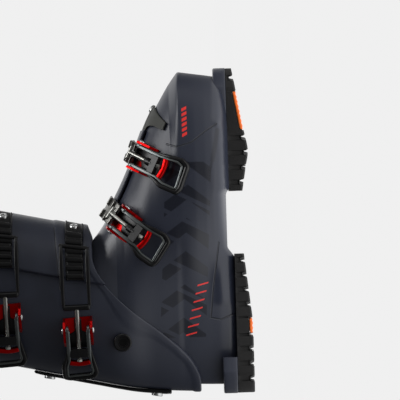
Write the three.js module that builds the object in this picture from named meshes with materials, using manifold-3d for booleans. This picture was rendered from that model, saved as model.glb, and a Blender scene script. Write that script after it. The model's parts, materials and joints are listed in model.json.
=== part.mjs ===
// Alpine ski boot, right foot: a four-buckle overlap boot with a hinged cuff and a soft liner.
// Frame: +X towards the toe, +Y towards the inner (medial) side, +Z up, millimetres.
// Every curved wall is a stack of level outlines. A level outline is two half superellipses, one for
// the toe end and one for the heel end, that meet where the boot is widest.
import * as THREE from "three";
import { mergeVertices } from "three/addons/utils/BufferGeometryUtils.js";
import Module from "manifold-3d";

const wasm = await Module();
wasm.setup();

// ---------------------------------------------------------------- driving dimensions
const HALF_SOLE = 152.5; // half of the 305 mm sole length
const GAP = 0.4; // between pieces that touch
const SHELL_WALL = 4.5;
const CUFF_WALL = 4.2;
const CUFF_CLEARANCE = 2.8; // between the shell and the cuff that turns round it
const LINER_WALL = 7;
const SPLIT_HEIGHT = 128; // the stiff lower shell ends here and the flexing throat begins
const THROAT_TOP = 149.4;
const LINER_SPLIT = 112; // the liner's foot ends here and its ankle begins
const FLOOR_HEIGHT = 25.5; // inside floor of the shell
const BOARD_TOP = 33.5;
const TOE_PAD_TOP = 18.5;
const HEEL_PAD_TOP = 15;
const TREAD_DEPTH = 3;
const LUG_TOP = 31;
const PIVOT = { x: -101, z: 122 }; // the cuff turns about this line across the boot
const CUFF_LEAN = 0.2126; // forward run for each millimetre of height
const COLUMNS = 28; // points round a level outline

// Front and back of the lower shell at each height: [height, x]
const TOE_LINE = [
  [18, 141], [31, 145], [64, 150], [68, 145], [75.5, 134.6], [81.4, 123.6], [88, 113], [93, 103],
  [100, 85], [107.5, 64], [112, 54], [121, 36], [133, 15.5], [141, 3], [152, -10],
];
const HEEL_LINE = [[18, -144], [50, -143], [80, -141.5], [110, -138], [150, -131]];
// Half widths of the lower shell at each height, over the ball of the foot and at the heel: [height, y]
const BALL_WIDTH = [
  [18, 39], [20, 45], [25, 49.5], [31, 52], [40, 54], [50, 55], [64, 54], [76, 50.5], [90, 47],
  [110, 44], [150, 41],
];
const HEEL_WIDTH = [[18, 34], [22, 36.5], [31, 37], [60, 38.5], [110, 41.5], [150, 41.5]];
const CUFF_WIDTH = [[50, 46], [122, 48], [164, 50], [230, 54], [320, 57]];

// ---------------------------------------------------------------- small helpers
const clamp01 = (t) => Math.min(1, Math.max(0, t));
const mix = (a, b, t) => a + (b - a) * t;
const ease = (from, to, value) => {
  const t = clamp01((value - from) / (to - from));
  return t * t * (3 - 2 * t);
};
const steps = (from, to, count) =>
  Array.from({ length: count + 1 }, (_, i) => mix(from, to, i / count));
const radians = THREE.MathUtils.degToRad;

// Value of a hand-drawn line of [input, output] points, straight between them.
function along(line, input) {
  if (input <= line[0][0]) return line[0][1];
  for (let i = 1; i < line.length; i++) {
    const [a, b] = [line[i - 1], line[i]];
    if (input <= b[0]) return mix(a[1], b[1], (input - a[0]) / (b[0] - a[0]));
  }
  return line[line.length - 1][1];
}

// Raises a number's size to a power and keeps its sign.
const signedPower = (value, power) => Math.sign(value) * Math.abs(value) ** power;

// ---------------------------------------------------------------- the lower shell's shape
// Height of the shell's underside: thick at the heel, arched in the middle, over the toe pad in front.
const soleLine = (x) =>
  mix(HEEL_PAD_TOP, 21.5, ease(-26, -14, x)) + (TOE_PAD_TOP - 21.5) * ease(34, 40, x) + 0.3;

function shellHalfWidth(x, z) {
  const plain = mix(along(HEEL_WIDTH, z), along(BALL_WIDTH, z), ease(-60, 55, x));
  const waist = 6 * Math.exp(-(((x + 20) / 38) ** 2)) * (1 - ease(20, 60, z));
  return plain - waist;
}

// The two half superellipses of the lower shell at one height, moved inwards by inset.
function shellLevel(z, inset) {
  const front = along(TOE_LINE, z + inset) - inset;
  const rear = along(HEEL_LINE, z) + inset;
  const nose = Math.min(mix(90, 100, ease(64, 70, z)), 0.56 * (front - rear));
  return { front, rear, middle: front - nose, frontPower: mix(3, 2, ease(63, 68, z)), rearPower: 2.4 };
}

function shellPoint(z, turn, inset = 0) {
  const level = shellLevel(z, inset);
  const [c, s] = [Math.cos(turn), Math.sin(turn)];
  const power = c > 0 ? level.frontPower : level.rearPower;
  const reach = c > 0 ? level.front - level.middle : level.middle - level.rear;
  const x = level.middle + reach * signedPower(c, 2 / power);
  const y = signedPower(s, 2 / power) * (shellHalfWidth(x, z) - inset);
  return [x, y];
}

// Half width of the finished shell at a point of its side view, or a negative number outside it.
function shellSide(x, z) {
  const level = shellLevel(z, 0);
  const reach = x > level.middle ? level.front - level.middle : level.middle - level.rear;
  const power = x > level.middle ? level.frontPower : level.rearPower;
  const share = 1 - Math.abs((x - level.middle) / reach) ** power;
  return share <= 0 ? -1 : shellHalfWidth(x, z) * share ** (1 / power);
}

// ---------------------------------------------------------------- the cuff's shape
const cuffFront = (z) => 6 + CUFF_LEAN * (z - 164);
const cuffRear = (z) => -134 + CUFF_LEAN * (z - 164);

function legPoint(z, turn, offset) {
  const [front, rear] = [cuffFront(z) + offset, cuffRear(z) - offset];
  const [centre, half] = [(front + rear) / 2, (front - rear) / 2];
  const x = centre + half * signedPower(Math.cos(turn), 2 / 2.3);
  const y = signedPower(Math.sin(turn), 2 / 2.3) * (along(CUFF_WIDTH, z) + offset);
  return [x, y];
}

// Low on the boot the cuff keeps an even clearance round the shell; above it follows the leaning leg.
function cuffPoint(z, turn, offset) {
  const low = shellPoint(z, turn, -(CUFF_CLEARANCE + CUFF_WALL) - offset);
  const high = legPoint(z, turn, offset);
  const share = ease(90, 146, z);
  return [mix(low[0], high[0], share), mix(low[1], high[1], share)];
}

function cuffSide(x, z) {
  const [front, rear] = [cuffFront(z), cuffRear(z)];
  const share = 1 - Math.abs((x - (front + rear) / 2) / ((front - rear) / 2)) ** 2.3;
  return share <= 0 ? -1 : along(CUFF_WIDTH, z) * share ** (1 / 2.3);
}

const cuffLowerEdge = (x) => 50 + 99 * ease(-142, -22, x) + 7 * ease(-10, 6, x);
const cuffTopEdge = (x) => 298 + 22 * ease(-20, -90, x);

// ---------------------------------------------------------------- turning points into solids
// A closed geometry from points and triangles, with its faces turned outwards.
function closed(points, triangles) {
  const geometry = new THREE.BufferGeometry();
  geometry.setAttribute("position", new THREE.Float32BufferAttribute(points.flat(), 3));
  geometry.setIndex(triangles.flat());
  const [a, b, c] = [new THREE.Vector3(), new THREE.Vector3(), new THREE.Vector3()];
  let volume = 0;
  for (const [i, j, k] of triangles) {
    a.fromArray(points[i]);
    b.fromArray(points[j]);
    c.fromArray(points[k]);
    volume += a.dot(b.cross(c));
  }
  if (volume < 0) geometry.setIndex(triangles.map(([i, j, k]) => [i, k, j]).flat());
  return geometry;
}

const quad = (a, b, c, d) => [[a, b, c], [a, c, d]];

// Closed rings joined in order. The end rings are closed by strips across the boot, or to each other.
function loft(rings, endsMeet = false) {
  const count = rings[0].length;
  const triangles = [];
  const at = (r, i) => r * count + ((i + count) % count);
  const last = rings.length - 1;
  for (let r = 0; r < last + (endsMeet ? 1 : 0); r++) {
    const next = (r + 1) % rings.length;
    for (let i = 0; i < count; i++)
      triangles.push(...quad(at(r, i), at(r, i + 1), at(next, i + 1), at(next, i)));
  }
  if (!endsMeet) {
    for (const [r, turned] of [[0, true], [last, false]]) {
      for (let i = 0; i < count / 2; i++) {
        const corners = [at(r, i), at(r, i + 1), at(r, count - i - 1), at(r, count - i)];
        const faces = [];
        if (i + 1 < count / 2) faces.push([corners[0], corners[1], corners[2]]);
        else faces.push([corners[0], corners[1], corners[3]]);
        if (i > 0 && i + 1 < count / 2) faces.push([corners[0], corners[2], corners[3]]);
        triangles.push(...faces.map(([a, b, c]) => (turned ? [a, c, b] : [a, b, c])));
      }
    }
  }
  return closed(rings.flat(), triangles);
}

// A plate between two grids of the same size, with its four edges closed.
function plate(top, bottom) {
  const [rows, columns] = [top.length, top[0].length];
  const at = (side, r, c) => side * rows * columns + r * columns + c;
  const triangles = [];
  for (let r = 0; r + 1 < rows; r++)
    for (let c = 0; c + 1 < columns; c++) {
      triangles.push(...quad(at(0, r, c), at(0, r, c + 1), at(0, r + 1, c + 1), at(0, r + 1, c)));
      triangles.push(...quad(at(1, r, c), at(1, r + 1, c), at(1, r + 1, c + 1), at(1, r, c + 1)));
    }
  for (let r = 0; r + 1 < rows; r++) {
    const end = columns - 1;
    triangles.push(...quad(at(0, r, 0), at(0, r + 1, 0), at(1, r + 1, 0), at(1, r, 0)));
    triangles.push(...quad(at(0, r + 1, end), at(0, r, end), at(1, r, end), at(1, r + 1, end)));
  }
  for (let c = 0; c + 1 < columns; c++) {
    const end = rows - 1;
    triangles.push(...quad(at(0, 0, c + 1), at(0, 0, c), at(1, 0, c), at(1, 0, c + 1)));
    triangles.push(...quad(at(0, end, c), at(0, end, c + 1), at(1, end, c + 1), at(1, end, c)));
  }
  return closed([...top.flat(), ...bottom.flat()], triangles);
}

function toSolid(geometry) {
  const bare = geometry.clone();
  for (const name of ["normal", "uv"]) bare.deleteAttribute(name);
  const merged = mergeVertices(bare, 1e-4);
  return new wasm.Manifold(
    new wasm.Mesh({
      numProp: 3,
      vertProperties: merged.attributes.position.array,
      triVerts: new Uint32Array(merged.index.array),
    }),
  );
}

function fromSolid(solid) {
  const mesh = solid.getMesh();
  const geometry = new THREE.BufferGeometry();
  geometry.setAttribute("position", new THREE.BufferAttribute(new Float32Array(mesh.vertProperties), 3));
  geometry.setIndex(new THREE.BufferAttribute(new Uint32Array(mesh.triVerts), 1));
  return geometry;
}

const join = (...pieces) => fromSolid(pieces.map(toSolid).reduce((a, b) => a.add(b)));
const cut = (piece, ...tools) => fromSolid(tools.map(toSolid).reduce((a, b) => a.subtract(b), toSolid(piece)));

function box(low, high) {
  const size = high.map((h, i) => h - low[i]);
  const geometry = new THREE.BoxGeometry(...size);
  return geometry.translate(...low.map((l, i) => l + size[i] / 2));
}

// A round bar between two points.
function bar(from, to, radius, sides = 10, farRadius = radius) {
  const [a, b] = [new THREE.Vector3(...from), new THREE.Vector3(...to)];
  const direction = b.clone().sub(a);
  const geometry = new THREE.CylinderGeometry(farRadius, radius, direction.length(), sides);
  const turn = new THREE.Quaternion().setFromUnitVectors(
    new THREE.Vector3(0, 1, 0),
    direction.clone().normalize(),
  );
  geometry.applyQuaternion(turn);
  return geometry.translate(...a.add(b).multiplyScalar(0.5).toArray());
}

// A flat outline of [x, y] points raised from one height to another.
function prism(outline, low, high) {
  const shape = new THREE.Shape(outline.map(([x, y]) => new THREE.Vector2(x, y)));
  const geometry = new THREE.ExtrudeGeometry(shape, { depth: high - low, bevelEnabled: false });
  return geometry.translate(0, 0, low);
}

// ---------------------------------------------------------------- materials and the group
const finish = (color, roughness, metalness) => ({ color, roughness, metalness });
const FINISHES = {
  shell: finish(0x3a3e49, 0.42, 0),
  rubber: finish(0x17181a, 0.85, 0),
  glide: finish(0xe8642a, 0.5, 0),
  seal: finish(0x34352f, 0.7, 0),
  red: finish(0xd4232b, 0.3, 0.8),
  lever: finish(0x4b4e52, 0.35, 0.9),
  catch: finish(0x5b5c5a, 0.5, 0.7),
  black: finish(0x1c1d1f, 0.55, 0),
  steel: finish(0xb9bcc0, 0.25, 1),
  liner: finish(0x202226, 0.95, 0),
  strap: finish(0x1a1b1e, 0.9, 0),
  board: finish(0x44474c, 0.7, 0),
};

const boot = new THREE.Group();
const add = (name, geometry, kind, parent = boot) => {
  const mesh = new THREE.Mesh(geometry, new THREE.MeshStandardMaterial(FINISHES[kind]));
  mesh.name = name;
  parent.add(mesh);
  return mesh;
};

// ---------------------------------------------------------------- lower shell
const turns = Array.from({ length: COLUMNS }, (_, i) => (i * 2 * Math.PI) / COLUMNS);
// Below BLEND_TOP a level follows the sole line; above it a level is flat.
const BLEND_TOP = 40;
const shellRing = (level, inset) =>
  turns.map((turn) => {
    const [x, y] = shellPoint(level, turn, inset);
    const share = clamp01((level - 18) / (BLEND_TOP - 18));
    return [x, y, level < BLEND_TOP ? mix(soleLine(x), BLEND_TOP, share) : level];
  });
const flatRing = (z, inset) => turns.map((turn) => [...shellPoint(z, turn, inset), z]);

const SHELL_LEVELS = [18, 20.5, 26, 31, 40, 52, 64, 68, 75.5, 83, 93, 100, 107.5, 116, SPLIT_HEIGHT];
const CAVITY_LEVELS = [FLOOR_HEIGHT, BOARD_TOP, 45, 56, 64, 74, 86, 97, LINER_SPLIT, SPLIT_HEIGHT + 1];
const shellBody = loft(SHELL_LEVELS.map((z) => shellRing(z, 0)));
const cavity = loft(CAVITY_LEVELS.map((z) => flatRing(z, SHELL_WALL)));

// The standard toe and heel ends that the binding grips: flat lugs with round ends.
function lugOutline(tip, root, halfWidth, radius, direction) {
  const opening = Math.asin(halfWidth / radius);
  const arc = steps(-opening, opening, 10).map((angle) => [
    tip + direction * radius * (Math.cos(angle) - 1),
    radius * Math.sin(angle),
  ]);
  const outline = [[root, -halfWidth], ...arc, [root, halfWidth]];
  return direction > 0 ? outline : outline.reverse();
}
const toeLug = prism(lugOutline(HALF_SOLE, 96, 34.5, 41.5, 1), TOE_PAD_TOP + 0.3, LUG_TOP);
const heelLug = prism(lugOutline(-HALF_SOLE, -120, 35, 40, -1), HEEL_PAD_TOP + 0.3, 29);
const pivotHole = bar([PIVOT.x, -80, PIVOT.z], [PIVOT.x, 80, PIVOT.z], 5, 16);
add("lower_shell", cut(join(shellBody, toeLug, heelLug), cavity, pivotHole), "shell");

const tube = (heights, inner, outer) =>
  loft([...heights.map((z) => outer(z)), ...heights.toReversed().map((z) => inner(z))], true);
add(
  "shell_throat",
  tube(
    [SPLIT_HEIGHT + GAP, 135, 142, THROAT_TOP],
    (z) => flatRing(z, SHELL_WALL),
    (z) => flatRing(z, 0),
  ),
  "shell",
);

// A patch wrapped over the instep: x stations by angles about a line inside the boot, 0 straight up,
// positive on the medial side.
const CREST_DEPTH = 35;
const crestHeight = (x) => {
  const line = TOE_LINE.slice(2).map(([z, front]) => [-front, z]);
  return along(line, -x);
};
function skinRadius(x, angle) {
  const centre = crestHeight(x) - CREST_DEPTH;
  let [inside, outside] = [0, 90];
  for (let i = 0; i < 24; i++) {
    const r = (inside + outside) / 2;
    const [y, z] = [r * Math.sin(angle), centre + r * Math.cos(angle)];
    if (Math.abs(y) < shellSide(x, z)) inside = r;
    else outside = r;
  }
  return inside;
}
function patch(stations, angles, offset, thickness) {
  const grid = (extra) =>
    stations.map((x) =>
      angles.map((degrees) => {
        const angle = radians(degrees);
        const r = skinRadius(x, angle) + extra;
        return [x, r * Math.sin(angle), crestHeight(x) - CREST_DEPTH + r * Math.cos(angle)];
      }),
    );
  return plate(grid(offset + thickness), grid(offset));
}
const FLAP_THICKNESS = 3.4;
const FLAP_OFFSET = 1;
add("instep_flap", patch(steps(95, 31, 8), steps(-24, 74, 8), FLAP_OFFSET, FLAP_THICKNESS), "shell");
add("toe_seal", patch(steps(118, 97, 4), steps(-60, 60, 10), 1, 2), "seal");
const rivetFoot = crestHeight(113) + 4.2;
add("toe_seal_rivet", bar([113, 0, rivetFoot], [114.4, 0, rivetFoot + 2.4], 4, 12, 3), "steel");

// ---------------------------------------------------------------- soles
const padHalfWidth = (x) =>
  x > 0
    ? Math.min(34.5, Math.sqrt(Math.max(1, 41.5 ** 2 - Math.max(0, x - HALF_SOLE + 41.5) ** 2)))
    : Math.min(35, Math.sqrt(Math.max(1, 40 ** 2 - Math.max(0, -x - HALF_SOLE + 40) ** 2)));
// The tread is flat under the ball and rises to both ends; the heel tread is flat at the back.
const toeTread = (x) => (x > 74 ? 0.172 * (x - 74) * ease(64, 92, x) : 0.17 * (74 - x) * ease(82, 60, x));
const heelTread = (x) => 0.105 * Math.max(0, x + 85);

function treadPad(from, to, pitch, topHeight, treadHeight, insert) {
  const stations = [];
  const groove = 0.36 * pitch;
  const blocks = Math.round((to - from) / pitch);
  const step = (to - from) / blocks;
  for (let i = 0; i < blocks; i++) {
    const start = from + i * step;
    stations.push([start + 0.1, 0], [start + step - groove, 0]);
    if (i + 1 < blocks) stations.push([start + step - groove + 1, 1], [start + step - 0.6, 1]);
    else stations.push([start + step - 0.1, 0]);
  }
  const inInsert = (x) => x > insert[0] && x < insert[1];
  const rows = stations
    .concat([[insert[0] - 0.2, 0], [insert[0], 2], [insert[1], 2], [insert[1] + 0.2, 0]])
    .filter(([x, kind]) => kind === 2 || !inInsert(x))
    .sort((a, b) => a[0] - b[0]);
  const grid = (height) =>
    rows.map(([x, kind]) => [-1, 0, 1].map((f) => [x, f * padHalfWidth(x), height(x, kind)]));
  const depth = (kind) => [0, TREAD_DEPTH, TREAD_DEPTH + 0.7][kind];
  return plate(
    grid(() => topHeight),
    grid((x, kind) => treadHeight(x) + depth(kind)),
  );
}
function glidePlate([from, to], treadHeight) {
  const grid = (lift) =>
    steps(from + GAP, to - GAP, 3).map((x) =>
      [-1, 0, 1].map((f) => [x, f * (padHalfWidth(x) - 0.3), treadHeight(x) + lift]),
    );
  return plate(grid(TREAD_DEPTH + 0.3), grid(0.3));
}
const TOE_INSERT = [94, 130];
const HEEL_INSERT = [-96, -82];
const screwPlaces = { toe: [64, 16], heel: [-116, 16] };
const screwHole = ([x, y], z, side) => bar([x, side * y, z - 5], [x, side * y, z + 4.6], 4.5);
const screwHead = ([x, y], z, side) =>
  cut(
    bar([x, side * y, z + 0.9], [x, side * y, z + 4.2], 4),
    bar([x, side * y, z - 1], [x, side * y, z + 2.4], 1.8, 6),
  );
const padWithHoles = (pad, place, z) => cut(pad, screwHole(place, z, 1), screwHole(place, z, -1));
add(
  "toe_sole",
  padWithHoles(treadPad(37, HALF_SOLE - 0.5, 10.5, TOE_PAD_TOP, toeTread, TOE_INSERT), screwPlaces.toe, 1),
  "rubber",
);
add(
  "heel_sole",
  padWithHoles(treadPad(-HALF_SOLE + 0.5, -22, 10.5, HEEL_PAD_TOP, heelTread, HEEL_INSERT), screwPlaces.heel, 0),
  "rubber",
);
add("toe_glide_plate", glidePlate(TOE_INSERT, toeTread), "glide");
add("heel_glide_plate", glidePlate(HEEL_INSERT, heelTread), "glide");
for (const [end, z] of [["toe", 1], ["heel", 0]])
  for (const [side, sign] of [["lateral", -1], ["medial", 1]])
    add(`${end}_sole_screw_${side}`, screwHead(screwPlaces[end], z, sign), "steel");

// ---------------------------------------------------------------- foot bed and liner
const boardOutline = turns.map((turn) => shellPoint(FLOOR_HEIGHT, turn, SHELL_WALL + 0.9));
add("boot_board", prism(boardOutline, FLOOR_HEIGHT + GAP, BOARD_TOP), "board");

const LINER_INSET = SHELL_WALL + 0.9;
const linerOuter = (z) => flatRing(z, LINER_INSET);
const linerInner = (z) => flatRing(z, LINER_INSET + LINER_WALL);
const FOOT_LEVELS = [BOARD_TOP + GAP, ...CAVITY_LEVELS.filter((z) => z > BOARD_TOP && z <= LINER_SPLIT)];
add(
  "liner_foot",
  loft([
    ...FOOT_LEVELS.map(linerOuter),
    ...[LINER_SPLIT, 98, 84, 72, 56, BOARD_TOP + LINER_WALL].map(linerInner),
  ]),
  "liner",
);
add("liner_ankle", tube([LINER_SPLIT + GAP, 125, 137, THROAT_TOP], linerInner, linerOuter), "liner");

// ---------------------------------------------------------------- cuff
// The cuff is one sheet wrapped right round the leg: from its lateral flap, under the medial flap in
// front, past the outside, the back and the inside of the leg to the medial flap's edge on the outside.
const WRAP_START = radians(35);
const WRAP_END = radians(-360 - 75);
const LAYER = CUFF_WALL + 0.6; // how far out the covering flap lies
const layerAt = (turn) => LAYER * ease(radians(-205), radians(-315), turn);
function cuffGrid(offset, rows = 7, columns = 42) {
  return steps(0, 1, rows).map((share) =>
    steps(WRAP_START, WRAP_END, columns).map((turn) => {
      // The edge is where the skin meets the edge line, looking down from above it.
      let [below, low] = [40, 160];
      for (let i = 0; i < 24; i++) {
        const z = (below + low) / 2;
        if (cuffLowerEdge(cuffPoint(z, turn, 0)[0]) < z) low = z;
        else below = z;
      }
      const top = cuffTopEdge(cuffPoint(300, turn, 0)[0]);
      const z = mix(low, top, share);
      return [...cuffPoint(z, turn, offset + layerAt(turn)), z];
    }),
  );
}
add("cuff_shell", cut(plate(cuffGrid(0), cuffGrid(-CUFF_WALL)), pivotHole), "shell");

for (const [side, sign] of [["lateral", -1], ["medial", 1]]) {
  const face = sign * (shellSide(PIVOT.x, PIVOT.z) + CUFF_CLEARANCE + CUFF_WALL + 3.6);
  const at = (y) => [PIVOT.x, y, PIVOT.z];
  const head = bar(at(face), at(face + sign * 3), 8.5, 24);
  const shaft = bar(at(face + sign), at(sign * 37.6), 4.6, 16);
  const socket = bar(at(face + sign * 1.2), at(face + sign * 5), 3.4, 6);
  add(`cuff_pivot_bolt_${side}`, cut(join(head, shaft), socket), "black");
}

// ---------------------------------------------------------------- cuff linings, spoiler, spine, strap
const behind = (turn) => ease(0.72, 0.9, -Math.cos(turn));
const linerTop = (turn) => 322 + 10 * behind(turn) - 6 * ease(0.5, 0.95, Math.cos(turn));
const linerSkin = (share, depth) =>
  turns.map((turn) => {
    const z = mix(THROAT_TOP + 0.8, linerTop(turn), share);
    const room = 3.8 * behind(turn) * ease(228, 240, z);
    return [...cuffPoint(z, turn, -CUFF_WALL - 0.7 - room - depth), z];
  });
const linerShares = [0, 0.15, 0.42, 0.51, 0.75, 1];
add(
  "liner_cuff",
  loft(
    [
      ...linerShares.map((share) => linerSkin(share, 0)),
      ...linerShares.toReversed().map((share) => linerSkin(share, LINER_WALL)),
    ],
    true,
  ),
  "liner",
);

// A plate that follows the leg between two turns and two heights.
function legPatch(angles, heights, offset, thickness) {
  const grid = (extra) =>
    heights.map((z) => angles.map((degrees) => [...cuffPoint(z, radians(degrees), extra), z]));
  return plate(grid(offset + thickness), grid(offset));
}
add("spoiler", legPatch(steps(155, 205, 8), steps(246, 328, 5), -CUFF_WALL - 4.1, 3.2), "black");
const tongueOffset = -CUFF_WALL - LINER_WALL - 2 - 6.5;
add("liner_tongue", legPatch(steps(-52, 52, 10), steps(156, 337, 8), tongueOffset, 6), "liner");
add("rear_spine", legPatch(steps(-188, -172, 4), steps(78, 206, 8), 0.5, 3), "black");
for (const [place, z] of [["lower", 92], ["upper", 192]]) {
  const x = cuffPoint(z, Math.PI, 4.4)[0];
  const body = bar([x, 0, z], [x - 1.4, 0, z + 0.25], 5.5, 14);
  add(`spine_screw_${place}`, cut(body, bar([x - 0.6, 0, z], [x - 4, 0, z + 0.6], 2.4, 6)), "steel");
}
add("power_strap", legPatch(steps(-128, 128, 24), [284, 297, 310, 322], LAYER + 0.6, 2.8), "strap");

// ---------------------------------------------------------------- buckles
// Each buckle is built flat about its lever's pivot: u runs down the lever to its grip, v along the
// pivot and w away from the boot. The skin under it is read along rays from a centre inside the boot.
const RAY_CENTRE = 60;
const TOOTH_PITCH = 9.3;
const ARM_INSIDE = 8.7;
const ARM_OUTSIDE = 11;
const EAR_INSIDE = 11.5;
const EAR_OUTSIDE = 13.6;
const RIVET_RADIUS = 1.5;
const HOLE_RADIUS = 1.8;
const ROD_RADIUS = 1.7;
const HOOK_RADIUS = 1.7;
const CATCH_THICKNESS = 2.2;
const TOOTH_HEIGHT = 2.6;
const TOOTH_LENGTH = 2.7;
const LEVER_BOW = 5;
const GRIP_HALF_WIDTH = 16.5;
const LINK_SHARE = 0.42; // where along the lever the trunnion sits

class Buckle {
  // foot and grip are the skin's [x, z] under the pivot and under the grip; lean is the pivot's rise.
  constructor(name, side, foot, grip, lean, pinHeight, flapOffset) {
    Object.assign(this, { name, side, pinHeight, flapOffset });
    const skin = ([x, z]) => new THREE.Vector3(x, -side(x, z), z);
    const [p, q] = [skin(foot), skin(grip)];
    this.u = q.clone().sub(p).normalize();
    this.length = p.distanceTo(q);
    const across = new THREE.Vector3(lean[0], 0, lean[1]);
    this.v = across.sub(this.u.clone().multiplyScalar(across.dot(this.u))).normalize();
    this.w = this.u.clone().cross(this.v);
    if (this.w.y > 0) {
      this.w.negate();
      this.v.negate();
    }
    this.pivot = p.clone().addScaledVector(this.w, pinHeight);
    this.group = new THREE.Group();
    this.group.quaternion.setFromRotationMatrix(new THREE.Matrix4().makeBasis(this.u, this.v, this.w));
    this.group.position.copy(this.pivot);
    boot.add(this.group);
  }

  // Distance from the ray centre to the skin, at an angle from w towards the catch.
  reach(angle, v) {
    let [inside, outside] = [0, 130];
    const point = new THREE.Vector3();
    for (let i = 0; i < 24; i++) {
      const r = (inside + outside) / 2;
      point.copy(this.pivot).addScaledVector(this.v, v);
      point.addScaledVector(this.u, -r * Math.sin(angle));
      point.addScaledVector(this.w, r * Math.cos(angle) - RAY_CENTRE);
      if (Math.abs(point.y) < this.side(point.x, point.z)) inside = r;
      else outside = r;
    }
    return inside;
  }

  // A point of the buckle's own frame that lies a given height above the skin, square to it.
  over(angle, v, height) {
    const skin = this.reach(angle, v);
    const slope = (this.reach(angle + 0.02, v) - this.reach(angle - 0.02, v)) / (0.04 * skin);
    const r = skin + height * Math.hypot(1, slope);
    return [-r * Math.sin(angle), v, r * Math.cos(angle) - RAY_CENTRE];
  }

  // The same, clear of the skin over a bar's whole width.
  overBar(angle, halfWidth, height) {
    const places = [-halfWidth, 0, halfWidth].map((v) => this.over(angle, v, height));
    return [places[1][0], 0, Math.max(...places.map((place) => place[2]))];
  }

  // Height of the skin in the buckle's frame under a point of it.
  ground(u, v) {
    let angle = Math.atan2(-u, RAY_CENTRE - this.pinHeight);
    for (let i = 0; i < 6; i++) angle = Math.atan2(-u, this.over(angle, v, 0)[2] + RAY_CENTRE);
    return this.over(angle, v, 0)[2];
  }

  add(name, geometry, kind) {
    add(`${this.name}_${name}`, geometry, kind, this.group);
  }

  // A red channel riveted to the boot, whose ears carry the lever.
  makeBase(from, to) {
    const across = [-EAR_OUTSIDE, -EAR_INSIDE, -EAR_INSIDE + 0.1, 0];
    const vs = [...across, ...across.slice(0, 3).toReversed().map((v) => -v)];
    const us = [from, -4, 0, 4, (4 + to) / 2, to];
    const earTop = (u) => (u < from + 1 ? -3.5 : u > to - 1 ? -2.5 : 3.2);
    const floor = (u, v) => this.ground(u, v) + 2.2;
    const top = us.map((u) =>
      vs.map((v) => [u, v, Math.abs(v) > EAR_INSIDE - 0.05 ? Math.max(earTop(u), floor(u, v)) : floor(u, v)]),
    );
    const bottom = us.map((u) => vs.map((v) => [u, v, this.ground(u, v) + 0.8]));
    const hole = bar([0, -20, 0], [0, 20, 0], HOLE_RADIUS);
    this.add("base", cut(plate(top, bottom), hole), "red");
    for (const [place, sign] of [["front", -1], ["rear", 1]]) {
      const shank = bar([0, sign * (ARM_INSIDE + 0.2), 0], [0, sign * (EAR_OUTSIDE + 1), 0], RIVET_RADIUS);
      const head = bar([0, sign * (EAR_OUTSIDE + 0.3), 0], [0, sign * (EAR_OUTSIDE + 1.6), 0], 2.8);
      this.add(`rivet_${place}`, join(shank, head), "steel");
    }
  }

  // Bow of the lever above the straight line from its pivot to its end.
  lift(u) {
    const share = clamp01(u / this.length);
    return 4 * LEVER_BOW * share * (1 - share);
  }

  // A bowed stirrup with two arms at the pivot and a wider grip loop at its far end.
  makeLever() {
    const end = this.length;
    const outer = [
      [-4, ARM_OUTSIDE], [0.46 * end, ARM_OUTSIDE], [0.64 * end, GRIP_HALF_WIDTH],
      [0.88 * end, GRIP_HALF_WIDTH], [end, GRIP_HALF_WIDTH - 8],
    ];
    const inner = [
      [-4, ARM_INSIDE], [0.5 * end, ARM_INSIDE], [0.68 * end, GRIP_HALF_WIDTH - 4],
      [0.84 * end, GRIP_HALF_WIDTH - 4], [end - 4.5, GRIP_HALF_WIDTH - 10],
    ];
    const mirrored = (line) => line.map(([u, v]) => [u, -v]);
    const outline = [...outer, ...mirrored(outer).reverse(), ...mirrored(inner), ...inner.toReversed()];
    const stirrup = prism(outline, -2.5, 2.5);
    const position = stirrup.attributes.position;
    for (let i = 0; i < position.count; i++)
      position.setZ(i, position.getZ(i) + this.lift(position.getX(i)));
    const holeAt = ([u, , w]) => bar([u, -20, w], [u, 20, w], HOLE_RADIUS);
    this.link = [LINK_SHARE * end, 0, this.lift(LINK_SHARE * end)];
    this.add("lever", cut(stirrup, holeAt([0, 0, 0]), holeAt(this.link)), "lever");
  }

  // The red crossbar that turns in the lever's arms and holds the adjusting rod.
  makeTrunnion(rodEnd) {
    const [u, , w] = this.link;
    const tilt = Math.atan2(w - rodEnd[2], u - rodEnd[0]);
    this.rodDirection = [Math.cos(tilt), 0, Math.sin(tilt)];
    const block = box([-4, -8.3, -3.4], [4, 8.3, 3.4]).rotateY(-tilt).translate(u, 0, w);
    const axle = bar([u, -ARM_OUTSIDE + 0.3, w], [u, ARM_OUTSIDE - 0.3, w], RIVET_RADIUS);
    const bore = bar(this.alongRod(-8), this.alongRod(8), ROD_RADIUS + 0.35);
    this.add("trunnion", cut(join(block, axle), bore), "red");
  }

  alongRod(distance) {
    return this.link.map((value, i) => value + this.rodDirection[i] * distance);
  }

  // A hexagonal end for the key, on the rod's far side of the trunnion.
  rod(from) {
    const head = bar(this.alongRod(6.5), this.alongRod(10), 3, 6);
    return [bar(from, this.alongRod(7), ROD_RADIUS), head];
  }

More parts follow.
